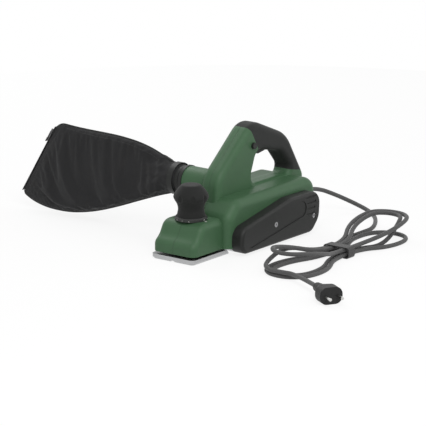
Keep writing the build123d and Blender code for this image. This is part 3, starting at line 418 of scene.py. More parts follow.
class Bench:
    """Modelling steps that the pieces share."""

    WELD = 0.02 * MM
    ROUND_STEPS = 3

    @staticmethod
    def clear() -> None:
        """Leave edit mode and deselect everything."""
        if bpy.context.object is not None and bpy.context.object.mode != "OBJECT":
            bpy.ops.object.mode_set(mode="OBJECT")
        bpy.ops.object.select_all(action="DESELECT")

    @staticmethod
    def pick(piece: bpy.types.Object) -> None:
        """Select one piece alone and make it active."""
        Bench.clear()
        piece.select_set(True)
        bpy.context.view_layer.objects.active = piece

    @staticmethod
    def started(name: str) -> bpy.types.Object:
        """Name the primitive that was just added and open it for editing."""
        piece = bpy.context.object
        piece.name = piece.data.name = name
        bpy.ops.object.mode_set(mode="EDIT")
        bpy.ops.mesh.select_all(action="SELECT")
        return piece

    @staticmethod
    def turn(angle: float, axis: str, centre: Vector) -> None:
        """Turn the selection about an axis by the right-hand rule."""
        bpy.ops.transform.rotate(
            value=-angle, orient_axis=axis, orient_type="GLOBAL", center_override=centre
        )

    @staticmethod
    def apply(piece: bpy.types.Object, kind: str, **settings: object) -> None:
        """Add a modifier to a piece and apply it.

        Args:
            piece: The piece.
            kind: Modifier type.
            settings: Attributes of the modifier.
        """
        Bench.pick(piece)
        modifier = piece.modifiers.new(kind.lower(), kind)
        for name, value in settings.items():
            setattr(modifier, name, value)
        bpy.ops.object.modifier_apply(modifier=modifier.name)

    @staticmethod
    def settle(piece: bpy.types.Object, smooth: float = 40.0) -> None:
        """Move the piece's place into its mesh and shade it.

        Args:
            piece: The piece.
            smooth: Angle in degrees up to which faces shade smoothly.
        """
        Bench.pick(piece)
        bpy.ops.object.transform_apply(location=True, rotation=True, scale=True)
        bpy.ops.object.mode_set(mode="EDIT")
        bpy.ops.mesh.select_all(action="SELECT")
        bpy.ops.mesh.remove_doubles(threshold=Bench.WELD)
        bpy.ops.mesh.normals_make_consistent(inside=False)
        bpy.ops.object.mode_set(mode="OBJECT")
        bpy.ops.object.shade_smooth_by_angle(angle=math.radians(smooth))

    @staticmethod
    def dress(piece: bpy.types.Object, finish: bpy.types.Material, body: Body, slot: str) -> None:
        """Give a piece its material and its body."""
        piece.data.materials.clear()
        piece.data.materials.append(finish)
        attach(piece, body.value)
        LOG.info("piece %s rides on %s", piece.name, body.value)

    @staticmethod
    def block(
        name: str, size: Point, place: Point = (0.0, 0.0, 0.0), round_off: float = 0.0
    ) -> bpy.types.Object:
        """Make a block with rounded edges.

        Args:
            name: Name of the piece.
            size: Its sides.
            place: Its middle.
            round_off: Width of the rounding.

        Returns:
            The block.
        """
        Bench.clear()
        bpy.ops.mesh.primitive_cube_add(size=1.0, location=(0, 0, 0))
        piece = Bench.started(name)
        bpy.ops.transform.resize(value=size, center_override=(0, 0, 0))
        bpy.ops.transform.translate(value=place)
        bpy.ops.object.mode_set(mode="OBJECT")
        if round_off:
            Bench.apply(
                piece, "BEVEL", width=round_off, segments=Bench.ROUND_STEPS, limit_method="NONE"
            )
        return piece

    @staticmethod
    def joined(name: str, pieces: Sequence[bpy.types.Object]) -> bpy.types.Object:
        """Join meshes into one piece of that name."""
        Bench.clear()
        for piece in pieces:
            piece.select_set(True)
        bpy.context.view_layer.objects.active = pieces[0]
        bpy.ops.object.join()
        pieces[0].name = pieces[0].data.name = name
        return pieces[0]

    @staticmethod
    def loft(name: str, rings: Sequence["Ring"], sides: int) -> bpy.types.Object:
        """Extrude a disc through a row of rings along +Y.

        Args:
            name: Name of the piece.
            rings: Rings in order.
            sides: Corners of each ring.

        Returns:
            A closed shell with its ends capped.
        """
        first = rings[0]
        Bench.clear()
        bpy.ops.mesh.primitive_circle_add(
            vertices=sides,
            radius=1.0,
            fill_type="NGON",
            location=first.centre,
            rotation=(math.pi / 2, 0, 0),
        )
        bpy.ops.object.transform_apply(location=True, rotation=True, scale=True)
        piece = Bench.started(name)
        size = Vector((1.0, 1.0, 1.0))
        lean = 0.0
        for before, ring in zip([first, *rings], rings):
            if ring is not first:
                step = Vector(ring.centre) - Vector(before.centre)
                bpy.ops.mesh.extrude_region_move(TRANSFORM_OT_translate={"value": step})
                Bench.turn(-lean, "X", Vector(ring.centre))
            wanted = Vector((ring.half_x, 1.0, ring.half_z))
            bpy.ops.transform.resize(
                value=[w / s for w, s in zip(wanted, size)], center_override=Vector(ring.centre)
            )
            Bench.turn(ring.lean, "X", Vector(ring.centre))
            size = wanted
            lean = ring.lean
        bpy.ops.mesh.select_all(action="DESELECT")
        bpy.ops.mesh.select_non_manifold(extend=False, use_boundary=True)
        bpy.ops.mesh.edge_face_add()
        bpy.ops.mesh.select_all(action="SELECT")
        bpy.ops.mesh.normals_make_consistent(inside=False)
        bpy.ops.object.mode_set(mode="OBJECT")
        return piece


@dataclass(frozen=True)
class Ring:
    """One ring of a loft, upright across +Y before it leans about X."""

    centre: Point
    half_x: float
    half_z: float
    lean: float = 0.0


@dataclass
class ChipBag:
    """Fabric bag on the chip port, with piped edges and a zip across its far end."""

    axis_x: float = -82 * MM
    port_z: float = 95 * MM
    start: float = 72.9 * MM
    neck_end: float = 92.9 * MM
    neck_r: float = 24.2 * MM
    top: tuple[float, float] = (321 * MM, 152 * MM)
    end: tuple[float, float] = (404 * MM, 18 * MM)
    half_thick: float = 21.5 * MM
    seam_half_thick: float = 4.0 * MM
    shoulder: Point = (150 * MM, 94 * MM, 44.5 * MM)  # y, z and half height of a drawn section
    belly: Point = (255 * MM, 79 * MM, 68.5 * MM)
    gather: float = 1 * MM
    seam_short: float = 0.5 * MM
    lip: float = 2 * MM
    mouth_rings: int = 3
    steps: int = 14
    sides: int = 40
    voxel: float = 4.0 * MM
    neck_hold: float = 16 * MM
    seam_hold: tuple[float, float] = (3 * MM, 12 * MM)  # fully held, then fading over
    edge_hold: tuple[float, float] = (4 * MM, 7 * MM)
    frames: int = 24
    cap: float = 8 * MM
    pleats: int = 11
    pleat_depth: float = 1.8 * MM
    pleat_from: float = 14 * MM
    pleat_run: float = 90 * MM
    pleat_fade: float = 105 * MM
    piping_r: float = 1.7 * MM
    stitch: Point = (0.35 * MM, 1.7 * MM, 0.3 * MM)
    stitch_pitch: float = 4.6 * MM
    stitch_inset: float = 5.5 * MM
    seam_inset: float = 9 * MM
    corner_in: float = 5 * MM
    corner_lap: float = 2.5

    def __post_init__(self) -> None:
        """Work out how the far seam leans and keep the four drawn sections."""
        (top_y, top_z), (end_y, end_z) = self.top, self.end
        run, drop = end_y - top_y, top_z - end_z
        self.lean = math.atan2(run, drop)
        self.seam = Vector((self.axis_x, (top_y + end_y) / 2, (top_z + end_z) / 2))
        self.along = Vector((0.0, -math.sin(self.lean), math.cos(self.lean)))
        self.outward = Vector((0.0, math.cos(self.lean), math.sin(self.lean)))
        self.seam_half = math.hypot(run, drop) / 2
        neck, far = self.neck_r - self.gather, self.seam_half - self.seam_short
        # Each section: y, z, half thickness, half height and lean.
        self.sections = (
            (self.neck_end, self.port_z, neck, neck, 0.0),
            (*self.shoulder[:2], self.half_thick, self.shoulder[2], self.lean / 6),
            (*self.belly[:2], self.half_thick, self.belly[2], self.lean / 3),
            (self.seam.y, self.seam.z, self.seam_half_thick, far, self.lean),
        )
        reach = [0.0]
        for before, after in zip(self.sections, self.sections[1:]):
            reach.append(reach[-1] + math.dist(before[:2], after[:2]))
        self.marks = [value / reach[-1] for value in reach]

    def ring(self, share: float) -> Ring:
        """Cross-section at a share of the bag's length, on the cubic through the drawn sections."""
        row = [0.0] * len(self.sections[0])
        for mark, section in zip(self.marks, self.sections):
            others = [other for other in self.marks if other != mark]
            weight = math.prod((share - other) / (mark - other) for other in others)
            row = [total + weight * value for total, value in zip(row, section)]
        y, z, half_x, half_z, lean = row
        return Ring((self.axis_x, y, z), half_x, half_z, lean)

    def rings(self) -> list[Ring]:
        """Rings from the neck to the far seam."""
        places = (self.start, (self.start + self.neck_end) / 2, self.neck_end - self.lip)
        mouth = [Ring((self.axis_x, y, self.port_z), self.neck_r, self.neck_r) for y in places]
        return [*mouth, *(self.ring(k / self.steps) for k in range(self.steps + 1))]

    def held(self, point: Vector) -> float:
        """Weight with which a point is held during the simulation.

        Args:
            point: Point of the bag.

        Returns:
            1 at the neck, the far seam and the sewn edges, and 0 on the free cloth.
        """
        short = -(point - self.seam).dot(self.outward)
        neck = (point.y - self.neck_end) / self.neck_hold
        seam = (short - self.seam_hold[0]) / self.seam_hold[1]
        edge = (abs(point.x - self.axis_x) - self.edge_hold[0]) / self.edge_hold[1]
        return 1.0 - min(1.0, max(0.0, min(neck, seam, edge)))

    def blown(self, shell: bpy.types.Object) -> None:
        """Fill the shell by a cloth simulation with pressure, and limit how far a point moves.

        Args:
            shell: Remeshed shell, changed in place.
        """
        start = [vertex.co.copy() for vertex in shell.data.vertices]
        group = shell.vertex_groups.new(name="held")
        for vertex in shell.data.vertices:
            group.add([vertex.index], self.held(vertex.co), "REPLACE")
        Bench.pick(shell)
        cloth = shell.modifiers.new("cloth", "CLOTH")
        settings = cloth.settings
        settings.quality = 6
        settings.mass = 0.25
        settings.tension_stiffness = settings.compression_stiffness = 12
        settings.shear_stiffness = 6
        settings.bending_stiffness = 0.3
        settings.vertex_group_mass = "held"
        settings.shrink_min = -0.05
        settings.use_pressure = True
        settings.uniform_pressure_force = 2.0
        settings.effector_weights.gravity = 0.3
        cloth.collision_settings.use_collision = False
        scene = bpy.context.scene
        cloth.point_cache.frame_start, cloth.point_cache.frame_end = 1, self.frames
        for number in range(1, self.frames + 1):
            scene.frame_set(number)
        bpy.ops.object.modifier_apply(modifier=cloth.name)
        scene.frame_set(1)
        for vertex, before in zip(shell.data.vertices, start):
            moved = vertex.co - before
            if moved.length > self.cap:
                vertex.co = before + moved * (self.cap / moved.length)
        shell.vertex_groups.clear()

    def gathered(self, shell: bpy.types.Object) -> None:
        """Fold the cloth into pleats where the clamp gathers it."""
        for vertex in shell.data.vertices:
            out = Vector((vertex.co.x - self.axis_x, 0.0, vertex.co.z - self.port_z))
            away = vertex.co.y - self.start - self.pleat_from
            if away < 0 or away > self.pleat_run:
                continue
            fade = math.sin(math.pi * away / self.pleat_run) * (1.0 - away / self.pleat_fade)
            fold = math.cos(self.pleats * math.atan2(out.z, out.x))
            vertex.co += out.normalized() * (self.pleat_depth * fade * fold)

    def edge(self, side: int) -> list[Vector]:
        """Points of a sewn edge from the neck to the far seam.

        Args:
            side: 1 for the upper edge, -1 for the lower one.

        Returns:
            Points on the edge, the last ones round the far corner.
        """
        found = [self.beside(ring, side, 0.0, 0) for ring in self.rings()[self.mouth_rings : -1]]
        corner = self.seam + self.along * (side * self.seam_half)
        found.append(corner - self.outward * self.corner_in)
        found.append(corner - self.along * (side * self.corner_in))
        found.append(corner - self.along * (side * self.corner_in * self.corner_lap))
        return found

    @staticmethod
    def beside(ring: Ring, side: int, inset: float, face: int) -> Vector:
        """Point of a ring near its upper or lower edge.

        Args:
            ring: The ring.
            side: 1 for the upper edge, -1 for the lower one.
            inset: Distance from that edge.
            face: 1 or -1 for the face of the bag, 0 for the edge itself.

        Returns:
            The point.
        """
        rise = Vector((0.0, -math.sin(ring.lean), math.cos(ring.lean)))
        share = 1.0 - inset / ring.half_z
        out = ring.half_x * math.sqrt(max(0.0, 1.0 - share * share))
        up = rise * (side * ring.half_z * share)
        return Vector(ring.centre) + up + Vector((face * out, 0.0, 0.0))

    def rows(self, face: int) -> list[list[Vector]]:
        """Lines of stitches on one face: beside both piped edges and along the far seam."""
        rings = self.rings()[self.mouth_rings + 1 : -1]
        lines = [
            [self.beside(ring, side, self.stitch_inset, face) for ring in rings] for side in (1, -1)
        ]
        out = Vector((face * self.half_thick / 3, 0.0, 0.0))
        far = self.seam - self.outward * self.seam_inset + out
        reach = self.seam_half - self.seam_inset
        lines.append([far + self.along * reach, far - self.along * reach])
        return lines

    def stitches(self, shell: bpy.types.Object, thread: bpy.types.Material) -> None:
        """Sew the stitches onto the finished cloth.

        Args:
            shell: The bag's cloth.
            thread: Finish of the thread.
        """
        Bench.clear()
        bpy.ops.mesh.primitive_uv_sphere_add(segments=8, ring_count=5, radius=1.0)
        stitch = Bench.started("bag_stitches")
        bpy.ops.transform.resize(value=self.stitch, center_override=(0, 0, 0))
        bpy.ops.object.mode_set(mode="OBJECT")
        sewn = []
        for line in self.rows(1) + self.rows(-1):
            for before, after in zip(line, line[1:]):
                way = after - before
                count = max(1, round(way.length / self.stitch_pitch))
                for k in range(count):
                    wanted = before + way * ((k + 0.5) / count)
                    _, place, normal, _ = shell.closest_point_on_mesh(wanted)
                    across = way.cross(normal).normalized()
                    turn = Matrix((across, normal.cross(across), normal)).transposed().to_4x4()
                    copy = stitch.copy()
                    copy.data = stitch.data.copy()
                    bpy.context.scene.collection.objects.link(copy)
                    copy.matrix_world = Matrix.Translation(place) @ turn
                    sewn.append(copy)
        bpy.data.objects.remove(stitch)
        row = Bench.joined("bag_stitches", sewn)
        Bench.settle(row, 80)
        Bench.dress(row, thread, Body.BASE, "bag_fabric")

    def piping(
        self, shell: bpy.types.Object, finish: bpy.types.Material, name: str, side: int
    ) -> None:
        """Sew a round piping along one edge of the finished cloth.

        Args:
            shell: The bag's cloth.
            finish: Finish of the piping.
            name: Name of the piece.
            side: 1 for the upper edge, -1 for the lower one.
        """
        route = [shell.closest_point_on_mesh(point)[1] for point in self.edge(side)]
        Bench.clear()
        bpy.ops.curve.primitive_nurbs_path_add()
        piping = bpy.context.object
        piping.name = name
        curve = piping.data
        curve.splines.clear()
        spline = curve.splines.new("NURBS")
        spline.points.add(len(route) - 1)
        for control, point in zip(spline.points, route):
            control.co = (*point, 1.0)
        spline.order_u = 3
        spline.use_endpoint_u = True
        curve.dimensions = "3D"
        curve.resolution_u = 6
        curve.bevel_depth = self.piping_r
        curve.bevel_resolution = 3
        curve.use_fill_caps = True
        Bench.pick(piping)
        bpy.ops.object.convert(target="MESH")
        Bench.settle(piping, 60)
        Bench.dress(piping, finish, Body.BASE, "bag_fabric")

    def build(
        self, cloth: bpy.types.Material, trim: bpy.types.Material, thread: bpy.types.Material
    ) -> None:
        """Args:
            cloth: Finish of the bag.
            trim: Finish of its piping.
            thread: Finish of its stitches.
        """
        shell = Bench.loft("chip_bag_cloth", self.rings(), self.sides)
        Bench.apply(shell, "REMESH", mode="VOXEL", voxel_size=self.voxel)
        self.blown(shell)
        self.gathered(shell)
        Bench.apply(shell, "SUBSURF", levels=1, render_levels=1)
        Bench.settle(shell, 60)
        Bench.dress(shell, cloth, Body.BASE, "bag_fabric")
        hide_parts("chip_bag")
        self.piping(shell, trim, "bag_piping_upper", 1)
        self.piping(shell, trim, "bag_piping_lower", -1)
        self.stitches(shell, thread)


@dataclass(frozen=True)
class SliderBlock:
    """One rounded block of the zip's slider, above the tape and below the slider's middle."""

    name: str
    size: Point
    above: float
    below: float
    round_off: float


@dataclass
class SeamZip:
    """Zip across the far end of the bag: tape, two rows of teeth, slider and pull."""

    bag: ChipBag
    tape: Point = (9.0 * MM, 1.0 * MM, 134 * MM)
    tape_round: float = 0.4 * MM
    tape_out: float = 0.7 * MM
    tooth: Point = (2.6 * MM, 1.4 * MM, 1.1 * MM)
    tooth_round: float = 0.25 * MM
    tooth_aside: float = 0.9 * MM
    tooth_above: float = 1.0 * MM
    pitch: float = 2.2 * MM
    rows: int = 58
    slider_at: float = 55 * MM
    slider_blocks: tuple[SliderBlock, ...] = (
        SliderBlock("zip_body", (8 * MM, 3.6 * MM, 9 * MM), 1.6 * MM, 0.0, 1.2 * MM),
        SliderBlock("zip_bridge", (2 * MM, 3 * MM, 7 * MM), 4.2 * MM, 0.0, 0.8 * MM),
        SliderBlock("zip_pull", (5 * MM, 1.2 * MM, 21 * MM), 4.6 * MM, 11 * MM, 0.5 * MM),
        SliderBlock("zip_tip", (6.4 * MM, 1.9 * MM, 8 * MM), 4.6 * MM, 18 * MM, 0.8 * MM),
    )

    def stand(self, piece: bpy.types.Object, finish: bpy.types.Material) -> None:
        """Lean an upright piece against the far seam and finish it."""
        Bench.pick(piece)
        piece.rotation_euler = (self.bag.lean, 0.0, 0.0)
        piece.location = self.bag.seam + self.bag.outward * self.tape_out
        Bench.settle(piece)
        Bench.dress(piece, finish, Body.BASE, "bag_fabric")

    def chain(self) -> bpy.types.Object:
        """Two rows of interlocking teeth along the tape."""
        rows = []
        for side in (-1, 1):
            first = -self.rows * self.pitch / 2 + side * self.pitch / 4
            place = (side * self.tooth_aside, self.tooth_above, first)
            row = Bench.block("zip_row", self.tooth, place, self.tooth_round)
            Bench.apply(
                row,
                "ARRAY",
                count=self.rows,
                use_relative_offset=False,
                use_constant_offset=True,
                constant_offset_displace=(0.0, 0.0, self.pitch),
            )
            rows.append(row)
        return Bench.joined("bag_zip_chain", rows)

    def slider(self) -> bpy.types.Object:
        """Slider with its bridge and a flat pull that hangs down."""
        blocks = []
        for block in self.slider_blocks:
            place = (0.0, block.above, self.slider_at - block.below)
            blocks.append(Bench.block(block.name, block.size, place, block.round_off))
        return Bench.joined("bag_zip_slider", blocks)

    def build(self, cloth: bpy.types.Material, metal: bpy.types.Material) -> None:
        """Make the zip.

        Args:
            cloth: Finish of the tape.
            metal: Finish of the teeth and the slider.
        """
        self.stand(Bench.block("bag_zip_tape", self.tape, round_off=self.tape_round), cloth)
        self.stand(self.chain(), metal)
        self.stand(self.slider(), metal)


@dataclass
class DepthMarks:
    """Plain figures and ticks round the depth dial, and the mark that they are read at."""

    axis_x: float = -155 * MM
    ring_r: float = 25 * MM
    middle_z: float = 60.0 * MM
    deck_z: float = 58 * MM
    figure: float = 3.3 * MM
    print_t: float = 0.12 * MM
    tick_w: float = 0.45 * MM
    tick_long: float = 2.4 * MM
    tick_short: float = 1.5 * MM
    pointer_r: float = 2.2 * MM
    pointer_out: float = 3.2 * MM
    deepest: int = 3
    full_turn: float = math.radians(300)
    per_figure: int = 4

    def bearing(self, depth: float) -> float:
        """Direction round the dial's axis of the mark for a depth of cut in millimetres."""
        return -math.pi / 2 + self.full_turn * depth / self.deepest

    def stand(self, mark: bpy.types.Object, depth: float) -> bpy.types.Object:
        """Stand a flat mark on the dial's rim, facing out, and move its place into its mesh."""
        bearing = self.bearing(depth)
        Bench.pick(mark)
        mark.rotation_euler = (math.pi / 2, 0.0, bearing + math.pi / 2)
        mark.location = (
            self.axis_x + self.ring_r * math.cos(bearing),
            self.ring_r * math.sin(bearing),
            self.middle_z,
        )
        bpy.ops.object.transform_apply(location=True, rotation=True, scale=True)
        return mark

    def number(self, value: int) -> bpy.types.Object:
        """One figure on the rim."""
        Bench.clear()
        bpy.ops.object.text_add()
        mark = bpy.context.object
        mark.data.body = str(value)
        mark.data.size = self.figure
        mark.data.align_x = mark.data.align_y = "CENTER"
        mark.data.extrude = self.print_t
        mark.data.resolution_u = 4
        bpy.ops.object.convert(target="MESH")
        return self.stand(mark, value)

    def build(self, ink: bpy.types.Material) -> None:
        """Print the figures, the ticks and the mark on the nose.

        Args:
            ink: Finish of the print.
        """
        marks = [self.number(value) for value in range(self.deepest + 1)]
        for step in range(self.deepest * self.per_figure + 1):
            if step % self.per_figure:
                tall = self.tick_short if step % 2 else self.tick_long
                tick = Bench.block("tick", (self.tick_w, tall, 2 * self.print_t))
                marks.append(self.stand(tick, step / self.per_figure))
        figures = Bench.joined("depth_figures", marks)
        Bench.settle(figures, 20)
        Bench.dress(figures, ink, Body.DIAL, "scale_plastic")
        Bench.clear()
        bpy.ops.mesh.primitive_cylinder_add(
            vertices=3,
            radius=self.pointer_r,
            depth=4 * self.print_t,
            location=(self.axis_x, -self.ring_r - self.pointer_out, self.deck_z + self.print_t),
        )
        mark = Bench.started("depth_pointer")
        bpy.ops.object.mode_set(mode="OBJECT")
        Bench.settle(mark, 20)
        Bench.dress(mark, ink, Body.BASE, "scale_plastic")


@dataclass
class Lead:
    """Mains lead from its guard to the tied hank and on to the plug, as one spline."""

    radius: float = 3.4 * MM
    middle: tuple[float, float] = (-19 * MM, -180 * MM)
    reach: float = 115 * MM
    round_r: float = 25 * MM
    waist: float = 4 * MM
    pitch: float = 10 * MM
    layer: float = 7.4 * MM
    lift: float = 26 * MM
    side_lift: float = 0.6  # share of the lift on the long sides
    tie_rise: float = 1.7 * MM
    turns: int = 2  # loops of the lower layer
    halves: int = 7  # half loops in all
    climb: float = 2.2  # stations before the lower layer's end at which the winding climbs
    laid: float = 26  # station from which the last end lies down again
    length: float = 2.79
    free: tuple[Point, ...] = (
        (0.146, 0.0, 0.044),
        (0.172, 0.0, 0.041),
        (0.201, -0.015, 0.027),
        (0.216, -0.046, 0.013),
        (0.211, -0.078, 0.006),
        (0.184, -0.108, 0.004),
        (0.1368, -0.135, 0.0034),
        (0.1028, -0.135, 0.0034),
    )
    tail: tuple[Point, ...] = (
        (-0.17775, -0.1868, 0.0108),
        (-0.17775, -0.2168, 0.01205),
        (-0.21675, -0.2818, 0.0133),
    )

    def hank(self) -> list[Point]:
        """Points of the winding: four to each long side and four to each round end."""
        near = math.tan(math.pi / 8)  # corner of an octagon round a circle of radius 1
        # A side's station, share of the reach and being tied, and an end's station and place.
        side = [(0.3, 0.70, False), (0.65, 0.32, True), (1.35, -0.32, True), (1.7, -0.70, False)]
        cap = [(2.25, near, 1.0), (2.75, 1.0, near), (3.25, 1.0, -near), (3.75, near, -1.0)]
        found = []
        for half in range(self.halves):
            sign = -1 if half % 2 else 1
            whole = half < self.halves - 1
            for k, x, tied in side:
                found.append(self._side_point(4 * half + k, sign * x, sign, tied))
            for k, x, y in cap if whole else cap[:2]:
                found.append(self._cap_point(4 * half + k, -sign * x, sign * y))
        return found

    def _spread(self, k: float) -> tuple[float, float]:
        """How far out and how high the winding runs at its k-th station, eight to a loop."""
        upper = k >= 8 * self.turns - self.climb
        out = k / 8 - self.turns + 0.5 if upper else self.turns - k / 8
        return out, self.radius + (self.layer if upper else 0.0)

    def _side_point(self, k: float, x: float, y: float, tied: bool) -> Point:
        """Point of a long side, near the tie or towards a round end."""
        out, z = self._spread(k)
        if tied:
            across = self.waist + out * self.layer
            z += self.tie_rise
        else:
            across = self.round_r + out * self.pitch
            z += self.lift * self.side_lift if z > self.layer else 0.0
        return (self.middle[0] + x * self.reach, self.middle[1] + y * across, z)

    def _cap_point(self, k: float, x: float, y: float) -> Point:
        """Point of a round end."""
        out, z = self._spread(k)
        wide = self.round_r + out * self.pitch
        if z > self.layer and k < self.laid:
            z += self.lift
        centre = self.middle[0] + math.copysign(self.reach, x)
        return (centre + x * wide, self.middle[1] + y * wide, z)

    def build(self, finish: bpy.types.Material, with_pieces: Iterable[bpy.types.Object]) -> None:
        """Args:
            finish: Finish of the jacket.
            with_pieces: Pieces on the lead; not used.
        """
        points = [*self.free, *self.hank(), *self.tail]
        curve = bpy.data.curves.new("lead", "CURVE")
        curve.dimensions = "3D"
        curve.bevel_depth = self.radius
        curve.bevel_resolution = 4
        curve.use_fill_caps = True
        curve.resolution_u = 8
        spline = curve.splines.new("NURBS")
        spline.points.add(len(points) - 1)
        for control, point in zip(spline.points, points):
            control.co = (*point, 1.0)
        spline.order_u = 3
        spline.use_endpoint_u = True
        lead = bpy.data.objects.new("lead", curve)
        bpy.context.scene.collection.objects.link(lead)
        Bench.dress(lead, finish, Body.BASE, "cord_jacket")
        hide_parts("mains_cord", "cord_hank", "plug_lead")


@dataclass(frozen=True)
class Lamp:
    """Square lamp that faces the object: name, place, side in metres and power in watts."""

    name: str
    place: Point
    size: float
    power: float


@dataclass
class Studio:
    """Camera at the photograph's angle, soft lights, pale floor and white surroundings."""

    azimuth: float = -52.4
    elevation: float = 14.6
    distance: float = 5.2
    target: Point = (-0.040, 0.0, 0.070)
    target_px: tuple[float, float] = (236.8, 196.4)
    frame_px: float = 426.0
    focal_px: float = 3360.0
    sensor: float = 36.0
    world_light: float = 0.45
    floor_r: float = 1.3
    floor_sides: int = 96
    floor_drop: float = 0.2 * MM
    floor_grey: float = 0.86
    floor_glow: float = 1.05
    floor_glow_share: float = 0.8
    lamps: tuple[Lamp, ...] = (
        Lamp("key", (-1.2, -1.4, 1.9), 1.4, 28.5),
        Lamp("fill", (1.4, -1.6, 1.2), 1.6, 7.0),
        Lamp("rim", (0.6, 1.6, 1.6), 1.2, 12.0),
    )

    def camera(self) -> None:
        """Stand the camera so that the target falls on its place in the photograph."""
        a, e = math.radians(self.azimuth), math.radians(self.elevation)
        back = Vector((math.sin(a) * math.cos(e), -math.cos(a) * math.cos(e), math.sin(e)))
        right = Vector((math.cos(a), math.sin(a), 0.0))
        up = back.cross(right)
        per_px = self.distance / self.focal_px
        aim = Vector(self.target)
        aim -= right * ((self.target_px[0] - self.frame_px / 2) * per_px)
        aim += up * ((self.target_px[1] - self.frame_px / 2) * per_px)
        data = bpy.data.cameras.new("photo_camera")
        data.sensor_width = self.sensor
        data.lens = self.focal_px / self.frame_px * self.sensor
        data.clip_end = 100.0
        camera = bpy.data.objects.new("photo_camera", data)
        bpy.context.scene.collection.objects.link(camera)
        turn = back.to_track_quat("Z", "Y").to_matrix().to_4x4()
        camera.matrix_world = Matrix.Translation(aim + back * self.distance) @ turn
        bpy.context.scene.camera = camera

    def hang(self, lamp: Lamp) -> None:
        """Hang a lamp so that it faces the object."""
        data = bpy.data.lights.new(lamp.name, "AREA")
        data.size = lamp.size
        data.energy = lamp.power
        light = bpy.data.objects.new(lamp.name, data)
        bpy.context.scene.collection.objects.link(light)
        back = Vector(lamp.place) - Vector(self.target)
        light.location = lamp.place
        light.rotation_euler = back.to_track_quat("Z", "Y").to_euler()

    def surroundings(self) -> None:
        """White world for the camera and for reflections, plain light for the rest."""
        world = bpy.data.worlds.new("studio")
        bpy.context.scene.world = world
        graph = Graph("studio", world)
        plain = graph.add("Background", None, {"Color": WHITE, "Strength": self.world_light})
        bright = graph.add("Background", None, {"Color": WHITE, "Strength": 1.0})
        both = graph.add("MixShader", None, {0: graph.background(), 1: plain, 2: bright})
        graph.add("OutputWorld", None, {"Surface": both})

    def floor(self) -> None:
        """Lay a wide pale floor that keeps the object's shadow."""
        Bench.clear()
        bpy.ops.mesh.primitive_circle_add(
            vertices=self.floor_sides,
            radius=self.floor_r,
            fill_type="NGON",
            location=(*self.target[:2], -self.floor_drop),
        )
        floor = bpy.context.object
        floor.name = "studio_floor"
        graph = Graph("studio_floor")
        share = graph.background() * self.floor_glow_share
        matt = graph.add("BsdfDiffuse", None, {"Color": (*[self.floor_grey] * 3, 1.0)})
        glow = graph.add("Emission", None, {"Color": WHITE, "Strength": self.floor_glow})
        both = graph.add("MixShader", None, {0: share, 1: matt, 2: glow})
        graph.add("OutputMaterial", None, {"Surface": both})
        floor.data.materials.append(graph.owner)

    def build(self) -> None:
        """Set up the camera, the lights and the surroundings."""
        bpy.context.scene.view_settings.view_transform = "Standard"
        self.camera()
        self.surroundings()
        self.floor()
        for lamp in self.lamps:
            self.hang(lamp)


def dress_frame(finishes: dict[str, bpy.types.Material]) -> None:
    """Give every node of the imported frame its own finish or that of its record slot.

    Args:
        finishes: Materials by name.
    """
    for part in frame["record"]["subparts"]:
        node = frame["nodes"][part["node"]]
        finish = finishes[OWN_FINISH.get(part["node"], part["material_slot"])]
        node.data.materials.clear()
        node.data.materials.append(finish)


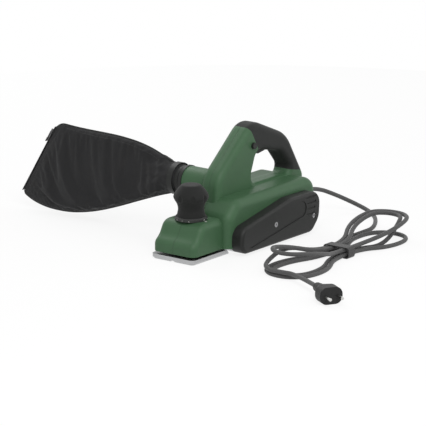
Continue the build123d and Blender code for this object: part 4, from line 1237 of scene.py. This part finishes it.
def make_finishes(bag: ChipBag) -> dict[str, bpy.types.Material]:
    """Build the finishes.

    Args:
        bag: The bag, whose weave follows its lean.

    Returns:
        Materials by name: the record's slots, and those of pieces unlike their slot.
    """
    smooth = {"roughness": 0.5, "pebble": 1200.0, "depth": 0.06 * MM}
    dust: Colour = (0.050, 0.046, 0.040)
    finishes = (
        MouldedPlastic("green_plastic", (0.053, 0.122, 0.059), parting=0.35 * MM),
        MouldedPlastic("black_plastic", (0.0175, 0.0185, 0.0175), rub=2.2),
        SoftRubber("soft_grip", (0.019, 0.020, 0.019)),
        WorkedMetal("cast_sole", (0.45, 0.455, 0.46)),
        WorkedMetal("drum_alloy", (0.60, 0.61, 0.62), 0.36, marks=(500.0, 14.0, 500.0)),
        WorkedMetal("knife_steel", (0.62, 0.63, 0.65), 0.22, marks=(500.0, 18.0, 500.0)),
        WorkedMetal("steel", (0.50, 0.50, 0.51), 0.34, marks=(260.0, 260.0, 260.0)),
        SoftRubber("belt_rubber", (0.022, 0.022, 0.022)),
        WorkedMetal("laminated_iron", (0.26, 0.25, 0.24), 0.5, marks=(8.0, 1800.0, 8.0)),
        WorkedMetal("copper", (0.72, 0.42, 0.26), 0.3, marks=(8.0, 900.0, 8.0)),
        MouldedPlastic("carbon", (0.040, 0.040, 0.042), 0.6),
        WorkedMetal("brass_sheet", (0.72, 0.56, 0.26), 0.3),
        MouldedPlastic("scale_plastic", (0.034, 0.035, 0.034), rub=1.8),
        WovenCloth("bag_fabric", (0.0195, 0.0195, 0.0203), dust, lean=bag.lean),
        SoftRubber("cord_jacket", (0.085, 0.085, 0.085), **smooth),
        SoftRubber("knob_rubber", (0.012, 0.0125, 0.012), 0.68),
        SoftRubber("plug_rubber", (0.020, 0.020, 0.020), **smooth),
        SoftRubber("bag_thread", (0.050, 0.050, 0.051), 0.7),
        MouldedPlastic("tie_plastic", (0.055, 0.055, 0.055)),
        WorkedMetal("pin_metal", (0.60, 0.60, 0.58), 0.2),
        WorkedMetal("zip_metal", (0.10, 0.10, 0.10), 0.38),
        MouldedPlastic("pale_print", (0.72, 0.72, 0.69), rub=1.0, mottle=0.04),
    )
    return {finish.name: finish.make() for finish in finishes}


def main() -> None:
    """Build the studio, dress the frame and make the soft and free pieces."""
    logging.basicConfig(level=logging.INFO, format="%(name)s: %(message)s")
    bag = ChipBag()
    Studio().build()
    finishes = make_finishes(bag)
    dress_frame(finishes)
    nodes = frame["nodes"]
    on_lead = [nodes["plug_body"], nodes["plug_pins"], nodes["cord_tie"]]
    Lead().build(finishes["cord_jacket"], on_lead)
    bag.build(finishes["bag_fabric"], finishes["soft_grip"], finishes["bag_thread"])
    SeamZip(bag).build(finishes["bag_fabric"], finishes["zip_metal"])
    DepthMarks().build(finishes["pale_print"])


if __name__ == "__main__":
    main()
